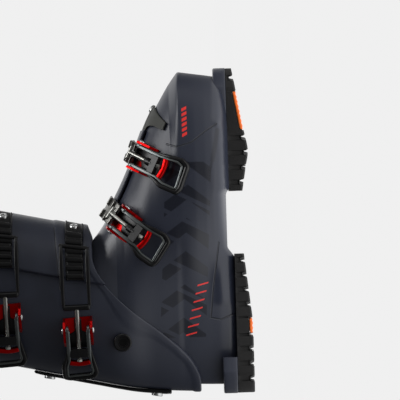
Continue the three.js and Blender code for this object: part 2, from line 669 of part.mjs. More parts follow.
  // The toothed plate that the bail hooks over. Angles are measured from the pivot towards the catch.
  makeCatch(fromArc, teeth, halfWidth, slot, lead, name = "catch", kind = "catch") {
    const radius = RAY_CENTRE - this.pinHeight + this.flapOffset;
    const rows = [[fromArc, 0]];
    for (let i = 0; i < teeth; i++) {
      const start = fromArc + lead + i * TOOTH_PITCH;
      rows.push([start, 0], [start + 0.4, TOOTH_HEIGHT], [start + 1.8, TOOTH_HEIGHT], [start + TOOTH_LENGTH, 0]);
    }
    rows.push([fromArc + lead + teeth * TOOTH_PITCH + 3, 0]);
    const half = slot ? [-halfWidth, -slot - 0.1, -slot] : [-halfWidth, -halfWidth / 2];
    const vs = [...half, ...half.toReversed().map((v) => -v)];
    const surface = (height) =>
      rows.map(([arc, tooth]) => vs.map((v) => this.over(arc / radius, v, height(v, tooth))));
    const raised = (v, tooth) => (slot && Math.abs(v) < slot + 0.05 ? 0 : tooth);
    const top = surface((v, tooth) => this.flapOffset + CATCH_THICKNESS + raised(v, tooth));
    this.add(name, plate(top, surface(() => this.flapOffset)), kind);
  }

  // Angle of the hook bar in the valley behind one of the catch's teeth, with some slack before it.
  valley(fromArc, lead, tooth, slack) {
    const radius = RAY_CENTRE - this.pinHeight + this.flapOffset;
    const arc = fromArc + lead + tooth * TOOTH_PITCH + TOOTH_LENGTH + HOOK_RADIUS + slack;
    return arc / radius;
  }

  // A rod with a T-shaped hook that drops behind the first tooth, in the slot of the catch.
  makeHookBail(angle) {
    const hook = this.overBar(angle, 7, this.flapOffset + CATCH_THICKNESS + HOOK_RADIUS + 1.5);
    this.makeTrunnion(hook);
    const cross = bar([hook[0], -7, hook[2]], [hook[0], 7, hook[2]], HOOK_RADIUS);
    this.add("bail", join(cross, ...this.rod(hook)), "steel");
  }

  // A long frame that reaches from the lever round the front of the cuff to the ladder.
  makeFrameBail(angle) {
    const height = this.flapOffset + CATCH_THICKNESS + HOOK_RADIUS + 1.4;
    const bridgeAngle = 0.36;
    const angles = steps(angle, bridgeAngle, 7);
    const heightAt = (a) => mix(height, this.pinHeight - 2.5, ease(angle, bridgeAngle, a));
    const rail = (from, to) => {
      const grid = (extra) => angles.map((a) => [from, to].map((v) => this.over(a, v, heightAt(a) + extra)));
      return plate(grid(1.8), grid(-1.8));
    };
    const crossing = (a) => {
      const [u, , w] = this.over(a, 0, heightAt(a));
      return [[u, -13.4, w], [u, 13.4, w]];
    };
    const bridgeAt = this.over(bridgeAngle, 0, heightAt(bridgeAngle));
    this.makeTrunnion(bridgeAt);
    const pieces = [
      rail(-13.5, -10.8),
      rail(10.8, 13.5),
      bar(...crossing(angle), HOOK_RADIUS),
      bar(...crossing(bridgeAngle), 2.6),
      ...this.rod(bridgeAt),
    ];
    this.add("bail", join(...pieces), "black");
  }
}

const FOOT_FLAP = FLAP_OFFSET + FLAP_THICKNESS + 1.2;
const SHELL_BUCKLES = {
  toe: { foot: [70.4, 98.9], grip: [47.1, 53.7], lean: [-19.3, 7.1] },
  instep: { foot: [12.6, 119.5], grip: [-20.6, 78.5], lean: [-20.3, 6.2] },
};
for (const [name, { foot, grip, lean }] of Object.entries(SHELL_BUCKLES)) {
  const buckle = new Buckle(name, shellSide, foot, grip, lean, 11, FOOT_FLAP);
  buckle.makeBase(-7, 18);
  buckle.makeLever();
  buckle.makeCatch(6, 3, 8.3, 2.4, 0.6);
  buckle.makeHookBail(buckle.valley(6, 0.6, 0, 0.5));
}

const CUFF_FLAP = LAYER + 0.9;
const CUFF_BUCKLES = {
  lower_cuff: { foot: [-83, 163], grip: [-128, 161] },
  upper_cuff: { foot: [-69, 229], grip: [-114, 227] },
};
const LADDER_START = 46;
for (const [name, { foot, grip }] of Object.entries(CUFF_BUCKLES)) {
  const buckle = new Buckle(name, cuffSide, foot, grip, [0.04, 1], 11, CUFF_FLAP);
  buckle.makeBase(-7, 18);
  buckle.makeLever();
  buckle.makeCatch(LADDER_START, 5, 8.5, 0, 2, "ladder", "black");
  buckle.makeFrameBail(buckle.valley(LADDER_START, 2, 2, 1.9));
}

// The part's origin is the middle of its box's underside.
boot.updateMatrixWorld(true);
const bounds = new THREE.Box3().setFromObject(boot, true);
const middle = bounds.getCenter(new THREE.Vector3());
boot.position.set(-middle.x, -middle.y, -bounds.min.z);

export default boot;
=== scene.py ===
# %% [markdown]
# # An alpine ski boot for the right foot
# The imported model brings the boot's frame: its bodies, joints and plain solids. This lesson builds the
# surfaces that are seen around that frame. Sizes are in millimetres about the middle of the boot's sole,
# as a boot maker's drawing has them, and one function turns them into metres in the frame.

# %% Load the frame
import json
import math

import bmesh
import bpy
import numpy as np
from mathutils import Matrix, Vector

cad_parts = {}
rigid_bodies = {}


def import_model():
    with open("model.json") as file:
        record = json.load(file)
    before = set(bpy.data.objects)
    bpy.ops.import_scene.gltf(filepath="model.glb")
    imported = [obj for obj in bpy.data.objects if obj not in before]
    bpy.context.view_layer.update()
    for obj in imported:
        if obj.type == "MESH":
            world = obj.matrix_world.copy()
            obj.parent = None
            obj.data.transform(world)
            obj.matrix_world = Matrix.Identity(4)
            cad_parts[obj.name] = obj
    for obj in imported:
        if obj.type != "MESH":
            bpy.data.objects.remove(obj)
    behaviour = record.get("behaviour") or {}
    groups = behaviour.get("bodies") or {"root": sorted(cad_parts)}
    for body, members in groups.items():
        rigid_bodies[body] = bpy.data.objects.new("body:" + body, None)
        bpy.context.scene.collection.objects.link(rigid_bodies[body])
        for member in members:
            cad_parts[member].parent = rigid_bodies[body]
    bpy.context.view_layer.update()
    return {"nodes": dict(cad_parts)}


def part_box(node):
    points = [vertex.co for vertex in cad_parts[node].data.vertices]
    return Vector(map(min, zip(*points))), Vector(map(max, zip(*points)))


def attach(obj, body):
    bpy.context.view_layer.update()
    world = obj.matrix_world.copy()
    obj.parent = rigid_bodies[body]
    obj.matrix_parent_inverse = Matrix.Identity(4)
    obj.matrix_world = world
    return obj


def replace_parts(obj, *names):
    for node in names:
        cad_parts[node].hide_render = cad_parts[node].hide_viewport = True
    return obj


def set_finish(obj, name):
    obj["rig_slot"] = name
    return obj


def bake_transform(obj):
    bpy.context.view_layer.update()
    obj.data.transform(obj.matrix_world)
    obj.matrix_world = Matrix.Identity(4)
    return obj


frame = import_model()

# %% [markdown]
# The drawing's origin is halfway along the sole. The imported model's origin is the middle of its box, so
# the two differ by a small step, which two symmetrical nodes give.

# %% Drawing frame to world frame
MM = 0.001
HALF_SOLE = 152.5
# The sole pads stop this short of the lugs' tips.
PAD_SETBACK = 0.5
pad_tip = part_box("toe_sole")[1]
board_low, board_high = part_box("boot_board")
SHIFT = np.array([pad_tip.x / MM - HALF_SOLE + PAD_SETBACK, (board_low.y + board_high.y) / 2 / MM, 0])


def world(points):
    """Metres in the frame from millimetres in the drawing: the point plus the shift, times 0.001."""
    return (np.asarray(points, float) + SHIFT) * MM


print("shift of the drawing, mm:", SHIFT.round(3))

# %% [markdown]
# A boot of this kind is shown from its outer side, toe up, by a long lens. The camera stands level with
# the middle of the foot and is rolled a quarter turn. The light is soft: a wide panel overhead and in
# front, a weak one beyond the toe, and a very wide one behind. The sky looks pale to the camera but
# lights the boot only a little, because dark plastic under an even white sky would look grey and flat.

# %% Camera
AIM = world([29.5, -50, 46.1])
DISTANCE = 6.0
PICTURE_WIDTH = 0.372
SENSOR_WIDTH = 36
SLOPE = math.radians(1.75)

camera = bpy.data.objects.new("camera", bpy.data.cameras.new("camera"))
bpy.context.scene.collection.objects.link(camera)
camera.data.sensor_width = SENSOR_WIDTH
camera.data.lens = SENSOR_WIDTH * DISTANCE / PICTURE_WIDTH
camera.data.clip_end = 50
right = (-math.sin(SLOPE), 0, -math.cos(SLOPE))
up = (math.cos(SLOPE), 0, -math.sin(SLOPE))
camera.matrix_world = Matrix(
    [
        [right[0], up[0], 0, AIM[0]],
        [right[1], up[1], -1, AIM[1] - DISTANCE],
        [right[2], up[2], 0, AIM[2]],
        [0, 0, 0, 1],
    ]
)
bpy.context.scene.camera = camera
print("lens", round(camera.data.lens), "mm")

# %% Light
bpy.context.scene.view_settings.view_transform = "Standard"


def direction_angles(aim):
    """Euler angles that turn -Z to the given direction: tilt from straight down, then heading."""
    flat = math.hypot(aim[0], aim[1])
    return (math.atan2(flat, -aim[2]), 0, math.atan2(-aim[0], aim[1]))


def panel(name, place, size, power):
    """A square area light at a place, facing the middle of the boot."""
    light = bpy.data.lights.new(name, "AREA")
    light.size = size
    light.energy = power
    lamp = bpy.data.objects.new(name, light)
    bpy.context.scene.collection.objects.link(lamp)
    lamp.location = place
    lamp.rotation_euler = direction_angles(np.subtract(BOOT_MIDDLE, place))


BOOT_MIDDLE = (0, 0, 0.12)
panel("overhead", (0.6, -0.35, 1.6), size=1.0, power=22)
panel("beyond_toe", (1.5, -0.8, 0.45), size=0.9, power=3.5)
panel("behind", (0.3, 1.6, 0.6), size=2.2, power=17)

# %% Sky
SKY_COLOUR = (0.87, 0.87, 0.87, 1)
SKY_SEEN, SKY_ON_THE_BOOT = 1.0, 0.12
sky = bpy.data.worlds.new("sky")
sky.use_nodes = True
seen = sky.node_tree.nodes.new("ShaderNodeLightPath")
backdrop = sky.node_tree.nodes["Background"]
backdrop.inputs["Color"].default_value = SKY_COLOUR
strength = sky.node_tree.nodes.new("ShaderNodeMapRange")
strength.inputs["To Min"].default_value = SKY_ON_THE_BOOT
strength.inputs["To Max"].default_value = SKY_SEEN
sky.node_tree.links.new(seen.outputs["Is Camera Ray"], strength.inputs["Value"])
sky.node_tree.links.new(strength.outputs["Result"], backdrop.inputs["Strength"])
bpy.context.scene.world = sky

# %% [markdown]
# ## Helpers
# Each surface below is a grid of points worked out as whole arrays. A grid becomes a mesh by joining
# neighbours. Seams and poles are points that coincide, so merging them closes the skin.

# %% Small formulas


def mix(a, b, share):
    """Straight between a and b."""
    return a + (b - a) * share


def ease(start, stop, value):
    """0 before start and 1 after stop, with t squared times (3 - 2t) between."""
    t = np.clip((value - start) / (stop - start), 0, 1)
    return t * t * (3 - 2 * t)


def bell(value):
    """A bell curve: e to minus the value squared."""
    return np.exp(-(value**2))


def signed_power(value, power):
    """The size raised to a power, with its sign kept."""
    return np.sign(value) * np.abs(value) ** power


def bell_weights(steps):
    """Weights of a bell curve that add up to 1, with that many steps in its three widths on each side."""
    weights = np.exp(-0.5 * np.linspace(-3, 3, 2 * steps + 1) ** 2)
    return weights / weights.sum()


def rounded_line(points, softness):
    """A function: straight lines between [position, value] points, averaged under a bell of that width."""
    position, value = np.array(points, float).T
    reach = 12 * softness
    slopes = np.diff(value) / np.diff(position)
    position = np.concatenate([[position[0] - reach], position, [position[-1] + reach]])
    value = np.concatenate([[value[0] - slopes[0] * reach], value, [value[-1] + slopes[-1] * reach]])
    steps = 18
    fine = np.arange(position[0], position[-1], 3 * softness / steps)
    smooth = np.convolve(np.interp(fine, position, value), bell_weights(steps), mode="same")
    return lambda where: np.interp(where, fine[steps:-steps], smooth[steps:-steps])


def rounded_path(points, softness, spacing, loop=False):
    """Points along straight lines between corners, averaged under a bell so that the corners are round."""
    corners = np.array(points, float)
    if loop:
        corners = np.vstack([corners, corners[:1]])
    steps = np.linalg.norm(np.diff(corners, axis=0), axis=1)
    travelled = np.concatenate([[0], np.cumsum(steps)])
    count = max(8, int(travelled[-1] / spacing))
    where = np.linspace(0, travelled[-1], count, endpoint=not loop)
    raw = np.stack([np.interp(where, travelled, c) for c in corners.T], 1)
    if softness == 0:
        return raw
    steps = max(1, int(round(3 * softness / spacing)))
    ahead, behind = raw[-steps:], raw[:steps]
    if not loop:
        k = np.arange(steps, 0, -1)[:, None]
        ahead = raw[0] + (raw[0] - raw[1]) * k
        behind = raw[-1] + (raw[-1] - raw[-2]) * k[::-1]
    padded = np.vstack([ahead, raw, behind])
    return np.stack([np.convolve(c, bell_weights(steps), mode="valid") for c in padded.T], 1)


def farthest(inside, outside, within):
    """The last place from inside towards outside where within holds, by halving the interval."""
    for _ in range(26):
        middle = (inside + outside) / 2
        holds = within(middle)
        inside, outside = np.where(holds, middle, inside), np.where(holds, outside, middle)
    return inside


def joined(*parts):
    """Arrays one after another, as a column."""
    return np.concatenate(parts)[:, None]


# %% Grids into meshes


def grid_faces(rows, columns, loop_rows=False, loop_columns=False):
    """Four-cornered faces between neighbours of a grid whose points are numbered row by row."""
    r, c = np.meshgrid(
        np.arange(rows if loop_rows else rows - 1),
        np.arange(columns if loop_columns else columns - 1),
        indexing="ij",
    )
    next_r, next_c = (r + 1) % rows, (c + 1) % columns
    corners = [r * columns + c, r * columns + next_c, next_r * columns + next_c, next_r * columns + c]
    return np.stack(corners, -1).reshape(-1, 4)


def skin(grid, loop_rows=False, loop_columns=False):
    """A grid of shape (rows, columns, 3) as a pair of points and faces."""
    rows, columns = grid.shape[:2]
    return grid.reshape(-1, 3), grid_faces(rows, columns, loop_rows, loop_columns)


def tidy(mesh, sharp):
    """Merges points that coincide, drops faces without area, turns faces outwards and shades smoothly."""
    work = bmesh.new()
    work.from_mesh(mesh)
    bmesh.ops.remove_doubles(work, verts=work.verts, dist=2e-6)
    bmesh.ops.dissolve_degenerate(work, edges=work.edges, dist=1e-6)
    bmesh.ops.recalc_face_normals(work, faces=work.faces)
    work.to_mesh(mesh)
    work.free()
    mesh.shade_smooth()
    mesh.set_sharp_from_angle(angle=math.radians(sharp))


def make_piece(name, skins, body, slot_name, sharp=38):
    """One object from closed skins in drawing millimetres, smooth but for edges above an angle."""
    points, faces, start = [], [], 0
    for skin_points, skin_faces in skins:
        points.append(skin_points)
        faces.append(skin_faces + start)
        start += len(skin_points)
    mesh = bpy.data.meshes.new(name)
    mesh.from_pydata(world(np.vstack(points)), [], np.vstack(faces).tolist())
    tidy(mesh, sharp)
    piece = bpy.data.objects.new(name, mesh)
    bpy.context.scene.collection.objects.link(piece)
    if body:
        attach(piece, body)
    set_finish(piece, slot_name)
    print(f"{name}: {len(mesh.polygons)} faces")
    return piece


def border_steps(span, edge, spacing):
    """Places from 0 to 1 along a span in millimetres, crowded where the edges are rounded."""
    rounding = edge * (1 - np.cos(np.linspace(0, math.pi / 2, 6))) / span
    middle = np.linspace(rounding[-1], 1 - rounding[-1], max(3, int(span / spacing)))
    return np.concatenate([rounding[:-1], middle, 1 - rounding[:-1][::-1]])


def edge_share(place, span, edge):
    """A quarter circle up from the border: the root of 1 - (1 - d / edge) squared, d from the border."""
    d = np.minimum(place, 1 - place) * span
    return np.sqrt(1 - (1 - np.clip(d / edge, 0, 1)) ** 2)


def rounded_sheet(surface, spans, inner, outer, edge, spacing):
    """A closed sheet with round edges from surface(s, t, offset), between two offsets from the surface."""
    s = border_steps(spans[0], edge, spacing[0])
    t = border_steps(spans[1], edge, spacing[1])
    s, t = np.meshgrid(s, t, indexing="ij")
    full = edge_share(s, spans[0], edge) * edge_share(t, spans[1], edge)
    middle, half = (inner + outer) / 2, (outer - inner) / 2
    return [skin(surface(s, t, middle + half * full)), skin(surface(s, t, middle - half * full))]


def sweep(path, across, tall, up, loop=False, sides=16, power=2.0, dome=1.0):
    """A bar along a path: superellipse sections square to it, closed by domes. up is the sections' top."""
    path = np.asarray(path, float)
    across = np.broadcast_to(across, len(path)).astype(float)
    tall = np.broadcast_to(tall, len(path)).astype(float)
    up = np.broadcast_to(up, path.shape).astype(float)
    along = np.roll(path, -1, 0) - np.roll(path, 1, 0) if loop else np.gradient(path, axis=0)
    along /= np.linalg.norm(along, axis=1, keepdims=True)
    shrink = np.ones(len(path))
    if not loop:
        bend = np.radians([0, 25, 50, 70])
        start = path[0] - along[0] * (dome * across[0] * np.cos(bend))[:, None]
        stop = path[-1] + along[-1] * (dome * across[-1] * np.cos(bend[::-1]))[:, None]
        path = np.vstack([start, path, stop])
        shrink = np.concatenate([np.sin(bend), shrink, np.sin(bend[::-1])])
        pad = lambda values: np.concatenate([values[:1].repeat(4, 0), values, values[-1:].repeat(4, 0)])
        across, tall, up, along = pad(across), pad(tall), pad(up), pad(along)
    side = np.cross(along, up)
    side /= np.linalg.norm(side, axis=1, keepdims=True)
    lift = np.cross(side, along)
    angle = np.arange(sides) * 2 * math.pi / sides
    wide = signed_power(np.cos(angle), 2 / power)[None, :, None]
    high = signed_power(np.sin(angle), 2 / power)[None, :, None]
    grid = path[:, None] + (side * (across * shrink)[:, None])[:, None] * wide
    grid = grid + (lift * (tall * shrink)[:, None])[:, None] * high
    return skin(grid, loop_rows=loop, loop_columns=True)


def turned(base, axis, profile, sides=48, socket=None):
    """A turned form of [height, radius] points. Its hexagonal socket is given as (radius, top, bottom)."""
    axis = np.array(axis, float) / np.linalg.norm(axis)
    first = np.cross(axis, [0.3, 1, 0.2] if abs(axis[1]) < 0.9 else [1, 0, 0])
    first /= np.linalg.norm(first)
    second = np.cross(axis, first)
    angle = np.arange(sides) * 2 * math.pi / sides
    hexagon = 1 / np.cos((angle + math.pi / 6) % (math.pi / 3) - math.pi / 6) / 1.1547
    rows = [(h, r * np.ones(sides)) for h, r in profile]
    if socket:
        radius, top, bottom = socket
        rows += [(top, radius * hexagon), (bottom, radius * hexagon), (bottom, 0 * hexagon)]
    height = np.array([h for h, _ in rows])[:, None, None]
    reach = np.array([r for _, r in rows])[:, :, None]
    ring = np.cos(angle)[:, None] * first + np.sin(angle)[:, None] * second
    return skin(np.array(base, float) + height * axis + reach * ring, loop_columns=True)


# %% [markdown]
# ## The boot's shape
# A level cut through the shell is two half superellipses, one for the toe and one for the heel, that
# meet where the boot is widest. How far they reach forwards, backwards and sideways changes with height.
# The cuff's cut is one superellipse about the leaning leg.

# %% Outlines of the shell and the cuff
# Reach at a height: the shell's front below and above its crease, and its rear.
TOE_LOW = rounded_line([[18, 141], [31, 145], [64, 150], [68, 145], [75.5, 134.6], [81.4, 123.6]], 0.7)
TOE_HIGH = rounded_line(
    [
        [60, 156], [75.5, 134.6], [81.4, 123.6], [88, 113], [93, 103], [100, 85], [107.5, 64], [112, 54],
        [121, 36], [133, 15.5], [141, 3], [152, -10], [160, -20],
    ],
    3.5,
)
HEEL_LINE = rounded_line([[18, -144], [50, -143], [80, -141.5], [110, -138], [150, -131]], 6)
# Half width at a height: the shell at the ball and at the heel, and the cuff.
BALL_WIDTH = rounded_line(
    [
        [18, 36], [20.5, 43], [23.5, 48.5], [27, 52], [32, 53.8], [40, 54.6], [50, 55], [64, 54], [76, 50.5],
        [90, 47], [110, 44], [150, 41],
    ],
    1.2,
)
HEEL_WIDTH = rounded_line([[18, 32], [22, 35.4], [31, 36.8], [60, 38.7], [110, 41.5], [150, 41.5]], 1.5)
CUFF_WIDTH = rounded_line([[50, 46], [122, 48], [164, 50], [230, 54], [320, 57]], 8)
SHELL_WALL = 4.5
CUFF_WALL = 4.2
CUFF_CLEARANCE = 2.8
# The leg leans forward by this share of its height, and its front and rear are given at one level.
CUFF_LEAN = 0.2126
LEG_LEVEL, LEG_FRONT, LEG_REAR = 164, 6, -134
LEG_POWER = 2.3
LAYER = CUFF_WALL + 0.6
THROAT_TOP = 149.4
FLOOR_HEIGHT = 25.5
TOE_PAD_TOP = 18.5
HEEL_PAD_TOP = 15.0
ARCH_HEIGHT = 21.5
PIVOT = (-101.0, 122.0)


def toe_line(z):
    """Front of the shell at a height: a crisp corner low down and a smooth instep above it."""
    return mix(TOE_LOW(z), TOE_HIGH(z), ease(69, 75, z))


def sole_line(x):
    """Height of the shell's underside: on the heel pad, arched behind the ball, on the toe pad."""
    arch = mix(HEEL_PAD_TOP, ARCH_HEIGHT, ease(-26, -14, x))
    return arch + (TOE_PAD_TOP - ARCH_HEIGHT) * ease(34, 40, x) + 0.3


def shell_half_width(x, z):
    """Heel width blended into ball width, less a waist that is a bell curve about the arch."""
    plain = mix(HEEL_WIDTH(z), BALL_WIDTH(z), ease(-60, 55, x))
    return plain - 6 * bell((x + 20) / 38) * (1 - ease(20, 60, z))


def shell_level(z, inset):
    """Front, rear, widest place and the two powers of the level cut, moved inwards by inset."""
    front = toe_line(z + inset) - inset
    rear = HEEL_LINE(z) + inset
    nose = np.minimum(mix(90, 100, ease(64, 70, z)), 0.56 * (front - rear))
    return front, rear, front - nose, 3 - np.clip((z - 64.5) / 8, 0, 1), 2.4


def shell_point(z, turn, inset=0):
    """x and y of the level cut: reach times cosine to 2/p, and half width times sine to 2/p."""
    front, rear, middle, front_power, rear_power = shell_level(z, inset)
    c, s = np.cos(turn), np.sin(turn)
    power = np.where(c > 0, front_power, rear_power)
    x = middle + np.where(c > 0, front - middle, middle - rear) * signed_power(c, 2 / power)
    return x, signed_power(s, 2 / power) * (shell_half_width(x, z) - inset)


def shell_side(x, z):
    """Half width of the shell at a point of its side view, or -1 outside it."""
    front, rear, middle, front_power, rear_power = shell_level(z, 0)
    reach = np.where(x > middle, front - middle, middle - rear)
    power = np.where(x > middle, front_power, rear_power)
    share = 1 - np.abs((x - middle) / reach) ** power
    return np.where(share <= 0, -1, shell_half_width(x, z) * np.clip(share, 0, 1) ** (1 / power))


def cuff_limits(z):
    """Front and rear of the leg's cut, which leans forward by the same run at every height."""
    lean = CUFF_LEAN * (z - LEG_LEVEL)
    return LEG_FRONT + lean, LEG_REAR + lean


def cuff_point(z, turn, offset):
    """Low down an even clearance round the shell, higher up a superellipse about the leg."""
    low = shell_point(z, turn, -(CUFF_CLEARANCE + CUFF_WALL) - offset)
    front, rear = cuff_limits(z)
    x = (front + rear) / 2 + ((front - rear) / 2 + offset) * signed_power(np.cos(turn), 2 / LEG_POWER)
    y = signed_power(np.sin(turn), 2 / LEG_POWER) * (CUFF_WIDTH(z) + offset)
    share = ease(90, 146, z)
    return mix(low[0], x, share), mix(low[1], y, share)


def cuff_side(x, z):
    """Half width of the leg's cut at a point of its side view, or -1 outside it."""
    front, rear = cuff_limits(z)
    share = 1 - np.abs((x - (front + rear) / 2) / ((front - rear) / 2)) ** LEG_POWER
    return np.where(share <= 0, -1, CUFF_WIDTH(z) * np.clip(share, 0, 1) ** (1 / LEG_POWER))


def even_turns(outline, count, first=0.0, last=2 * math.pi, loop=True):
    """Turns that space the points of an outline evenly along its length."""
    fine = np.linspace(first, last, 6001)
    x, y = outline(fine)
    travelled = np.concatenate([[0], np.cumsum(np.hypot(np.diff(x), np.diff(y)))])
    return np.interp(np.linspace(0, travelled[-1], count, endpoint=not loop), travelled, fine)


print("shell is", round(float(2 * shell_side(54.0, 50.0)), 1), "mm wide over the ball of the foot")

# %% [markdown]
# ## The lower shell
# The real shell is one injection moulding. Its side has a crisp crease above the toes, its lower edge
# rolls under to the sole, and its upper part bends when the skier leans on the cuff. It is made as one
# closed skin: out along the underside, up the wall, over a round rim, and down inside to the floor.

# %% Lower shell
UNDERSIDE, ROLL_TOP = 18, 40
BOSS = (99.3, 27.6)
shell_turns = even_turns(lambda turn: shell_point(45.0, turn), 340)


def shell_skin():
    """Rows of (height, inset, spread): spread is how much of the half width is kept, 0 at both middles."""
    close = np.sin(np.linspace(0, math.pi / 2, 9))[:-1]
    half = SHELL_WALL / 2
    wall = np.linspace(UNDERSIDE, THROAT_TOP - half, 190)
    rim = np.linspace(0, math.pi, 12)[1:-1]
    inside = np.linspace(THROAT_TOP - half, FLOOR_HEIGHT, 24)
    top = THROAT_TOP - half + half * np.sin(rim)
    height = joined(UNDERSIDE + 0 * close, wall, top, inside, FLOOR_HEIGHT + 0 * close)
    deep = SHELL_WALL + 0 * inside
    inset = joined(0 * close, 0 * wall, half - half * np.cos(rim), deep, SHELL_WALL + 0 * close)
    spread = joined(close, 1 + 0 * wall, 1 + 0 * rim, 1 + 0 * inside, close[::-1])
    x, y = shell_point(height, shell_turns[None, :], inset)
    share = np.clip((height - UNDERSIDE) / (ROLL_TOP - UNDERSIDE), 0, 1)
    z = np.where((height < ROLL_TOP) & (inset == 0), mix(sole_line(x), ROLL_TOP, share), height + 0 * x)
    crease = 0.25 * bell((z - 66.5) / 1.2) * ease(74, 86, x)
    heel_bulge = 2.4 * ease(-71, -63, x) * ease(-18, -46, x) * bell((z - 27) / 8)
    boss = 1.7 * bell(np.hypot(x - BOSS[0], z - BOSS[1]) / 3.2)
    y = y * (1 + (inset == 0) * (crease + heel_bulge + boss) / np.maximum(np.abs(y), 8))
    return skin(np.stack([x, y * spread, z], -1), loop_columns=True)


lower_shell = make_piece("shell_moulding", [shell_skin()], None, "shell_plastic", sharp=50)
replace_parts(lower_shell, "lower_shell", "shell_throat")
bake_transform(lower_shell)


# Half width and tip radius of the lugs that a binding holds.
TOE_LUG = (34.5, 41.5)
HEEL_LUG = (35, 40)


def lug_skin(tip, root, outline, direction, low, high, edge=1.6):
    """A flat lug: an arc at the tip, straight sides to the root, its edges rounded."""
    half_width, radius = outline
    bend = np.linspace(0, math.pi / 2, 6)
    inset = joined(edge - edge * np.sin(bend), np.zeros(4), edge - edge * np.cos(bend))
    straight = np.linspace(low + edge, high - edge, 4)
    z = joined(low + edge - edge * np.cos(bend), straight, high - edge + edge * np.sin(bend))
    steps = 14
    side = np.linspace(0, 1, steps)
    opening = math.asin(half_width / radius)
    arc = np.linspace(-opening, opening, 44)
    x = np.concatenate([mix(root, tip - direction * radius * (1 - math.cos(opening)), side), 0 * arc])
    y = np.concatenate([-half_width + 0 * side, 0 * arc])
    x[steps:] = tip + direction * radius * (np.cos(arc) - 1)
    y[steps:] = radius * np.sin(arc)
    x, y = np.concatenate([x, x[:steps][::-1]]), np.concatenate([y, -y[:steps][::-1]])
    keep = 1 - inset / half_width
    x, y = root + (x - root) * (1 - inset / abs(tip - root)), y * keep
    close = np.array([0.0, 0.5])[:, None]
    x = np.vstack([x[:1] + 0 * close, x, x[-1:] + 0 * close])
    z = np.concatenate([[[low]], [[low]], z, [[high]], [[high]]]) + 0 * x
    y = np.vstack([y[:1] * close, y, y[-1:] * close[::-1]])
    return skin(np.stack([x, y, z], -1), loop_columns=True)


toe_lug = lug_skin(HALF_SOLE, 100, TOE_LUG, 1, TOE_PAD_TOP + 0.3, 31)
heel_lug = lug_skin(-HALF_SOLE, -118, HEEL_LUG, -1, HEEL_PAD_TOP + 0.3, 29)
for name, lug in [("toe_lug", toe_lug), ("heel_lug", heel_lug)]:
    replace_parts(make_piece(name, [lug], "shell", "shell_plastic"), "lower_shell")

# %% [markdown]
# The shell laps over itself along the instep, and a soft seal closes the lap over the toes. Both follow
# the crest of the foot, so they are sheets in two numbers: the place along the crest and the angle
# about a line inside the boot, from straight up towards the inner side.

# %% Instep lap and toe seal
CREST_DEPTH = 35.0
SEAL_REACH = 66
STUD_PLACE = 115.5


def crest_height(x):
    """Height of the shell's top line at a place along the boot, read back from its front line."""
    z = np.linspace(62, 155, 600)
    return np.interp(-x, -toe_line(z), z)


def skin_radius(x, angle):
    """Distance from the line under the crest to the skin at an angle."""
    centre = crest_height(x) - CREST_DEPTH
    nothing = 0 * x + 0 * angle

    def within(r):
        return np.abs(r * np.sin(angle)) < shell_side(x, centre + r * np.cos(angle))

    return farthest(nothing, 90 + nothing, within)


def instep_point(x, degrees, offset):
    """A point over the instep, offset outwards along the ray."""
    angle = np.radians(degrees)
    r = skin_radius(x, angle) + offset
    return np.stack([x + 0 * r, r * np.sin(angle), crest_height(x) - CREST_DEPTH + r * np.cos(angle)], -1)


def flap_surface(s, t, offset):
    """s runs from toe to ankle. The inner side's edge draws in where the cuff comes down beside it."""
    x = mix(96.5, 13.0, s)
    inner_side = mix(16, 74, ease(12, 38, x))
    return instep_point(x, mix(-25, inner_side, t), offset)


flap_sheet = rounded_sheet(flap_surface, (102, 66), inner=1.0, outer=4.4, edge=1.2, spacing=(1.6, 1.6))
flap = make_piece("instep_lap", flap_sheet, "shell", "shell_plastic")
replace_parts(flap, "instep_flap")


def seal_surface(s, t, offset):
    """s runs from the rear edge to the front one. Both edges bow back towards the seal's two tips."""
    degrees = mix(-SEAL_REACH, SEAL_REACH, t)
    out = np.abs(degrees)
    front = 119.5 - 17 * (out / SEAL_REACH) ** 1.4
    rear = 92 + 8 * ease(8, 30, out) - 4 * ease(40, SEAL_REACH, out)
    step = 0.7 * ease(10, 14, out) * ease(64, 60, out)
    return instep_point(mix(rear, front, s), degrees, offset - step * (offset > 1.6))


seal_sheet = rounded_sheet(seal_surface, (24, 90), inner=0.7, outer=3.2, edge=1.0, spacing=(1, 1.6))
seal = make_piece("toe_seal_pad", seal_sheet, "shell", "seal_rubber")
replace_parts(seal, "toe_seal")
stud_foot = [STUD_PLACE, 0, float(crest_height(np.array(STUD_PLACE))) + 1.6]
dome = [[0, 0], [0, 4.2], [1.0, 4.3], [1.9, 3.9], [2.6, 3.0], [3.0, 1.8], [3.1, 0]]
stud = make_piece("toe_seal_stud", [turned(stud_foot, [1.4, 0, 2.4], dome)], "shell", "steel")
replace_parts(stud, "toe_seal_rivet")

# %% [markdown]
# ## Soles
# Each sole pad is hard rubber, bolted on, with raised blocks cut by slanting grooves. An orange plate is
# let into each pad. The pad is a grid: places along the boot by places round its section.

# %% Sole pads
TREAD_PITCH = 13.8
GROOVE_DEPTH = 3.9
GLIDE_SEAT = 3.7


def pad_half_width(x):
    """Straight sides that end in the lug's round tip: the root of the radius squared less the run squared."""

    def end(outline, run):
        half_width, radius = outline
        round_tip = np.sqrt(np.maximum(1, radius**2 - np.maximum(0, run - HALF_SOLE + radius) ** 2))
        return np.minimum(half_width, round_tip)

    return np.where(x > 0, end(TOE_LUG, x), end(HEEL_LUG, -x))


def toe_tread(x):
    """Lowest at the ball, rising to both ends."""
    ahead = 0.172 * (x - 74) * ease(64, 92, x)
    return np.where(x > 74, ahead, 0.17 * (74 - x) * ease(82, 60, x))


def heel_tread(x):
    """Flat at the back, rising towards the arch."""
    return 0.105 * np.maximum(0, x + 85)


